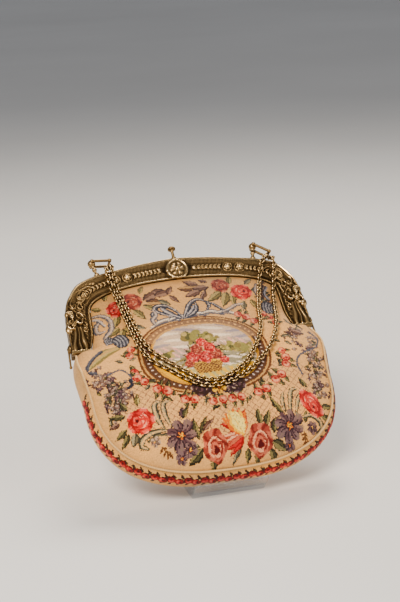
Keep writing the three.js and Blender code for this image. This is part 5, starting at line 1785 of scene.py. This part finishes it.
def hung(route, samples=24):
    """Centripetal curve through the route's points, in the purse plane."""
    p = np.array([rested(row) for row in route], float)
    p = np.vstack([2 * p[0] - p[1], p, 2 * p[-1] - p[-2]])
    curve = []
    for i in range(1, len(p) - 2):
        a, b, c, d = p[i - 1:i + 3]
        ab, bc, cd = (math.sqrt(np.linalg.norm(y - x)) for x, y in ((a, b), (b, c), (c, d)))
        m1 = ((b - a) / ab - (c - a) / (ab + bc) + (c - b) / bc) * bc
        m2 = ((c - b) / bc - (d - b) / (bc + cd) + (d - c) / cd) * bc
        t = np.linspace(0, 1, samples, endpoint=False)[:, None]
        curve.append((2 * b - 2 * c + m1 + m2) * t**3 + (3 * c - 3 * b - 2 * m1 - m2) * t**2 + m1 * t + b)
    return np.vstack([*curve, p[-2:-1]])


# %% Chain links
LINK_HALF, LINK_WIDE, LINK_WIRE, LINK_PITCH = 2.35, 1.7, 0.74, 3.3
LINK_STEPS, WIRE_SIDES = 22, 8
around = np.arange(LINK_STEPS) * 2 * math.pi / LINK_STEPS
oval_link = np.stack([LINK_HALF * np.cos(around), LINK_WIDE * np.sin(around)], 1)
oval_run = np.stack([-LINK_HALF * np.sin(around), LINK_WIDE * np.cos(around)], 1)
oval_run /= np.linalg.norm(oval_run, axis=1)[:, None]
oval_out = np.stack([oval_run[:, 1], -oval_run[:, 0]], 1)
section = np.arange(WIRE_SIDES) * 2 * math.pi / WIRE_SIDES
link_x = oval_link[:, :1] + LINK_WIRE * np.cos(section) * oval_out[:, :1]
link_y = oval_link[:, 1:] + LINK_WIRE * np.cos(section) * oval_out[:, 1:]
link_z = LINK_WIRE * np.sin(section) + 0 * link_x
LINK = np.stack([link_x, link_y, link_z], -1).reshape(-1, 3)
LINK_FACES = ring_faces(LINK_STEPS, WIRE_SIDES, closed=True)
# Painted highlight and painted shade on every link: bright round its outer edge, dark on its faces and
# inside, with some rubbed wear.
LINK_WEAR_AND_PAINTED_LIGHT = np.tile((0.28 + 0.7 * np.cos(section)).clip(0, 1), LINK_STEPS)


def chain(name, route, node, first_roll):
    path = hung(route)
    run = run_along(path)
    count = round((run[-1] - 2 * LINK_HALF) / LINK_PITCH) + 1
    stops = np.linspace(LINK_HALF, run[-1] - LINK_HALF, count)
    parts = []
    for k, stop in enumerate(stops):
        centre, before, after = (
            np.array([np.interp(stop + d, run, path[:, i]) for i in range(3)]) for d in (0, -1.2, 1.2))
        along = (after - before) / np.linalg.norm(after - before)
        side = np.cross((0, 0, 1), along)
        side /= np.linalg.norm(side)
        up = np.cross(along, side)
        roll = math.radians(first_roll + (45 if k % 2 else -45))
        wide = math.cos(roll) * side + math.sin(roll) * up
        thin = math.cos(roll) * up - math.sin(roll) * side
        spots = centre + LINK[:, :1] * along + LINK[:, 1:2] * wide + LINK[:, 2:] * thin
        parts.append((place(*spots.T), LINK_FACES))
    points, faces = gathered(parts)
    print(name, count, "links on", round(run[-1]), "mm")
    made = piece(name, points, faces, chain_gilt)
    keep_wear_and_painted_light(made, np.tile(LINK_WEAR_AND_PAINTED_LIGHT, count))
    return settle(made, "purse", "chain", node)


chain_gilt = gilt_finish("gilt_chain")
chain("chain_links_inner", CHAIN_INNER, "chain_inner", 0)
chain("chain_links_outer", CHAIN_OUTER, "chain_outer", 12)

# %% [markdown]
# ## The clear stand
# The stand is one bent and polished sheet of clear plastic, and its solid is right as it is. It only
# needs a clear finish with a faint cool tint. Much of the light goes straight through it, as through a
# thin sheet, and faint smears make its polish uneven.

# %% Stand
clear_finish, tree, shader = finish(
    "clear_plastic", Base_Color=(0.97, 0.99, 1.0, 1), Roughness=0.03, IOR=1.49, Transmission_Weight=1.0,
    Alpha=0.3)
smear = knot(tree, "TexNoise", {"Scale": 60.0, "Detail": 3.0})
smeared = ramp(tree, smear.outputs["Fac"], (0.4, (0.02,) * 3), (0.75, (0.07,) * 3))
tree.links.new(smeared, shader.inputs["Roughness"])
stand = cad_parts["display_stand"]
stand.data.materials.clear()
stand.data.materials.append(clear_finish)
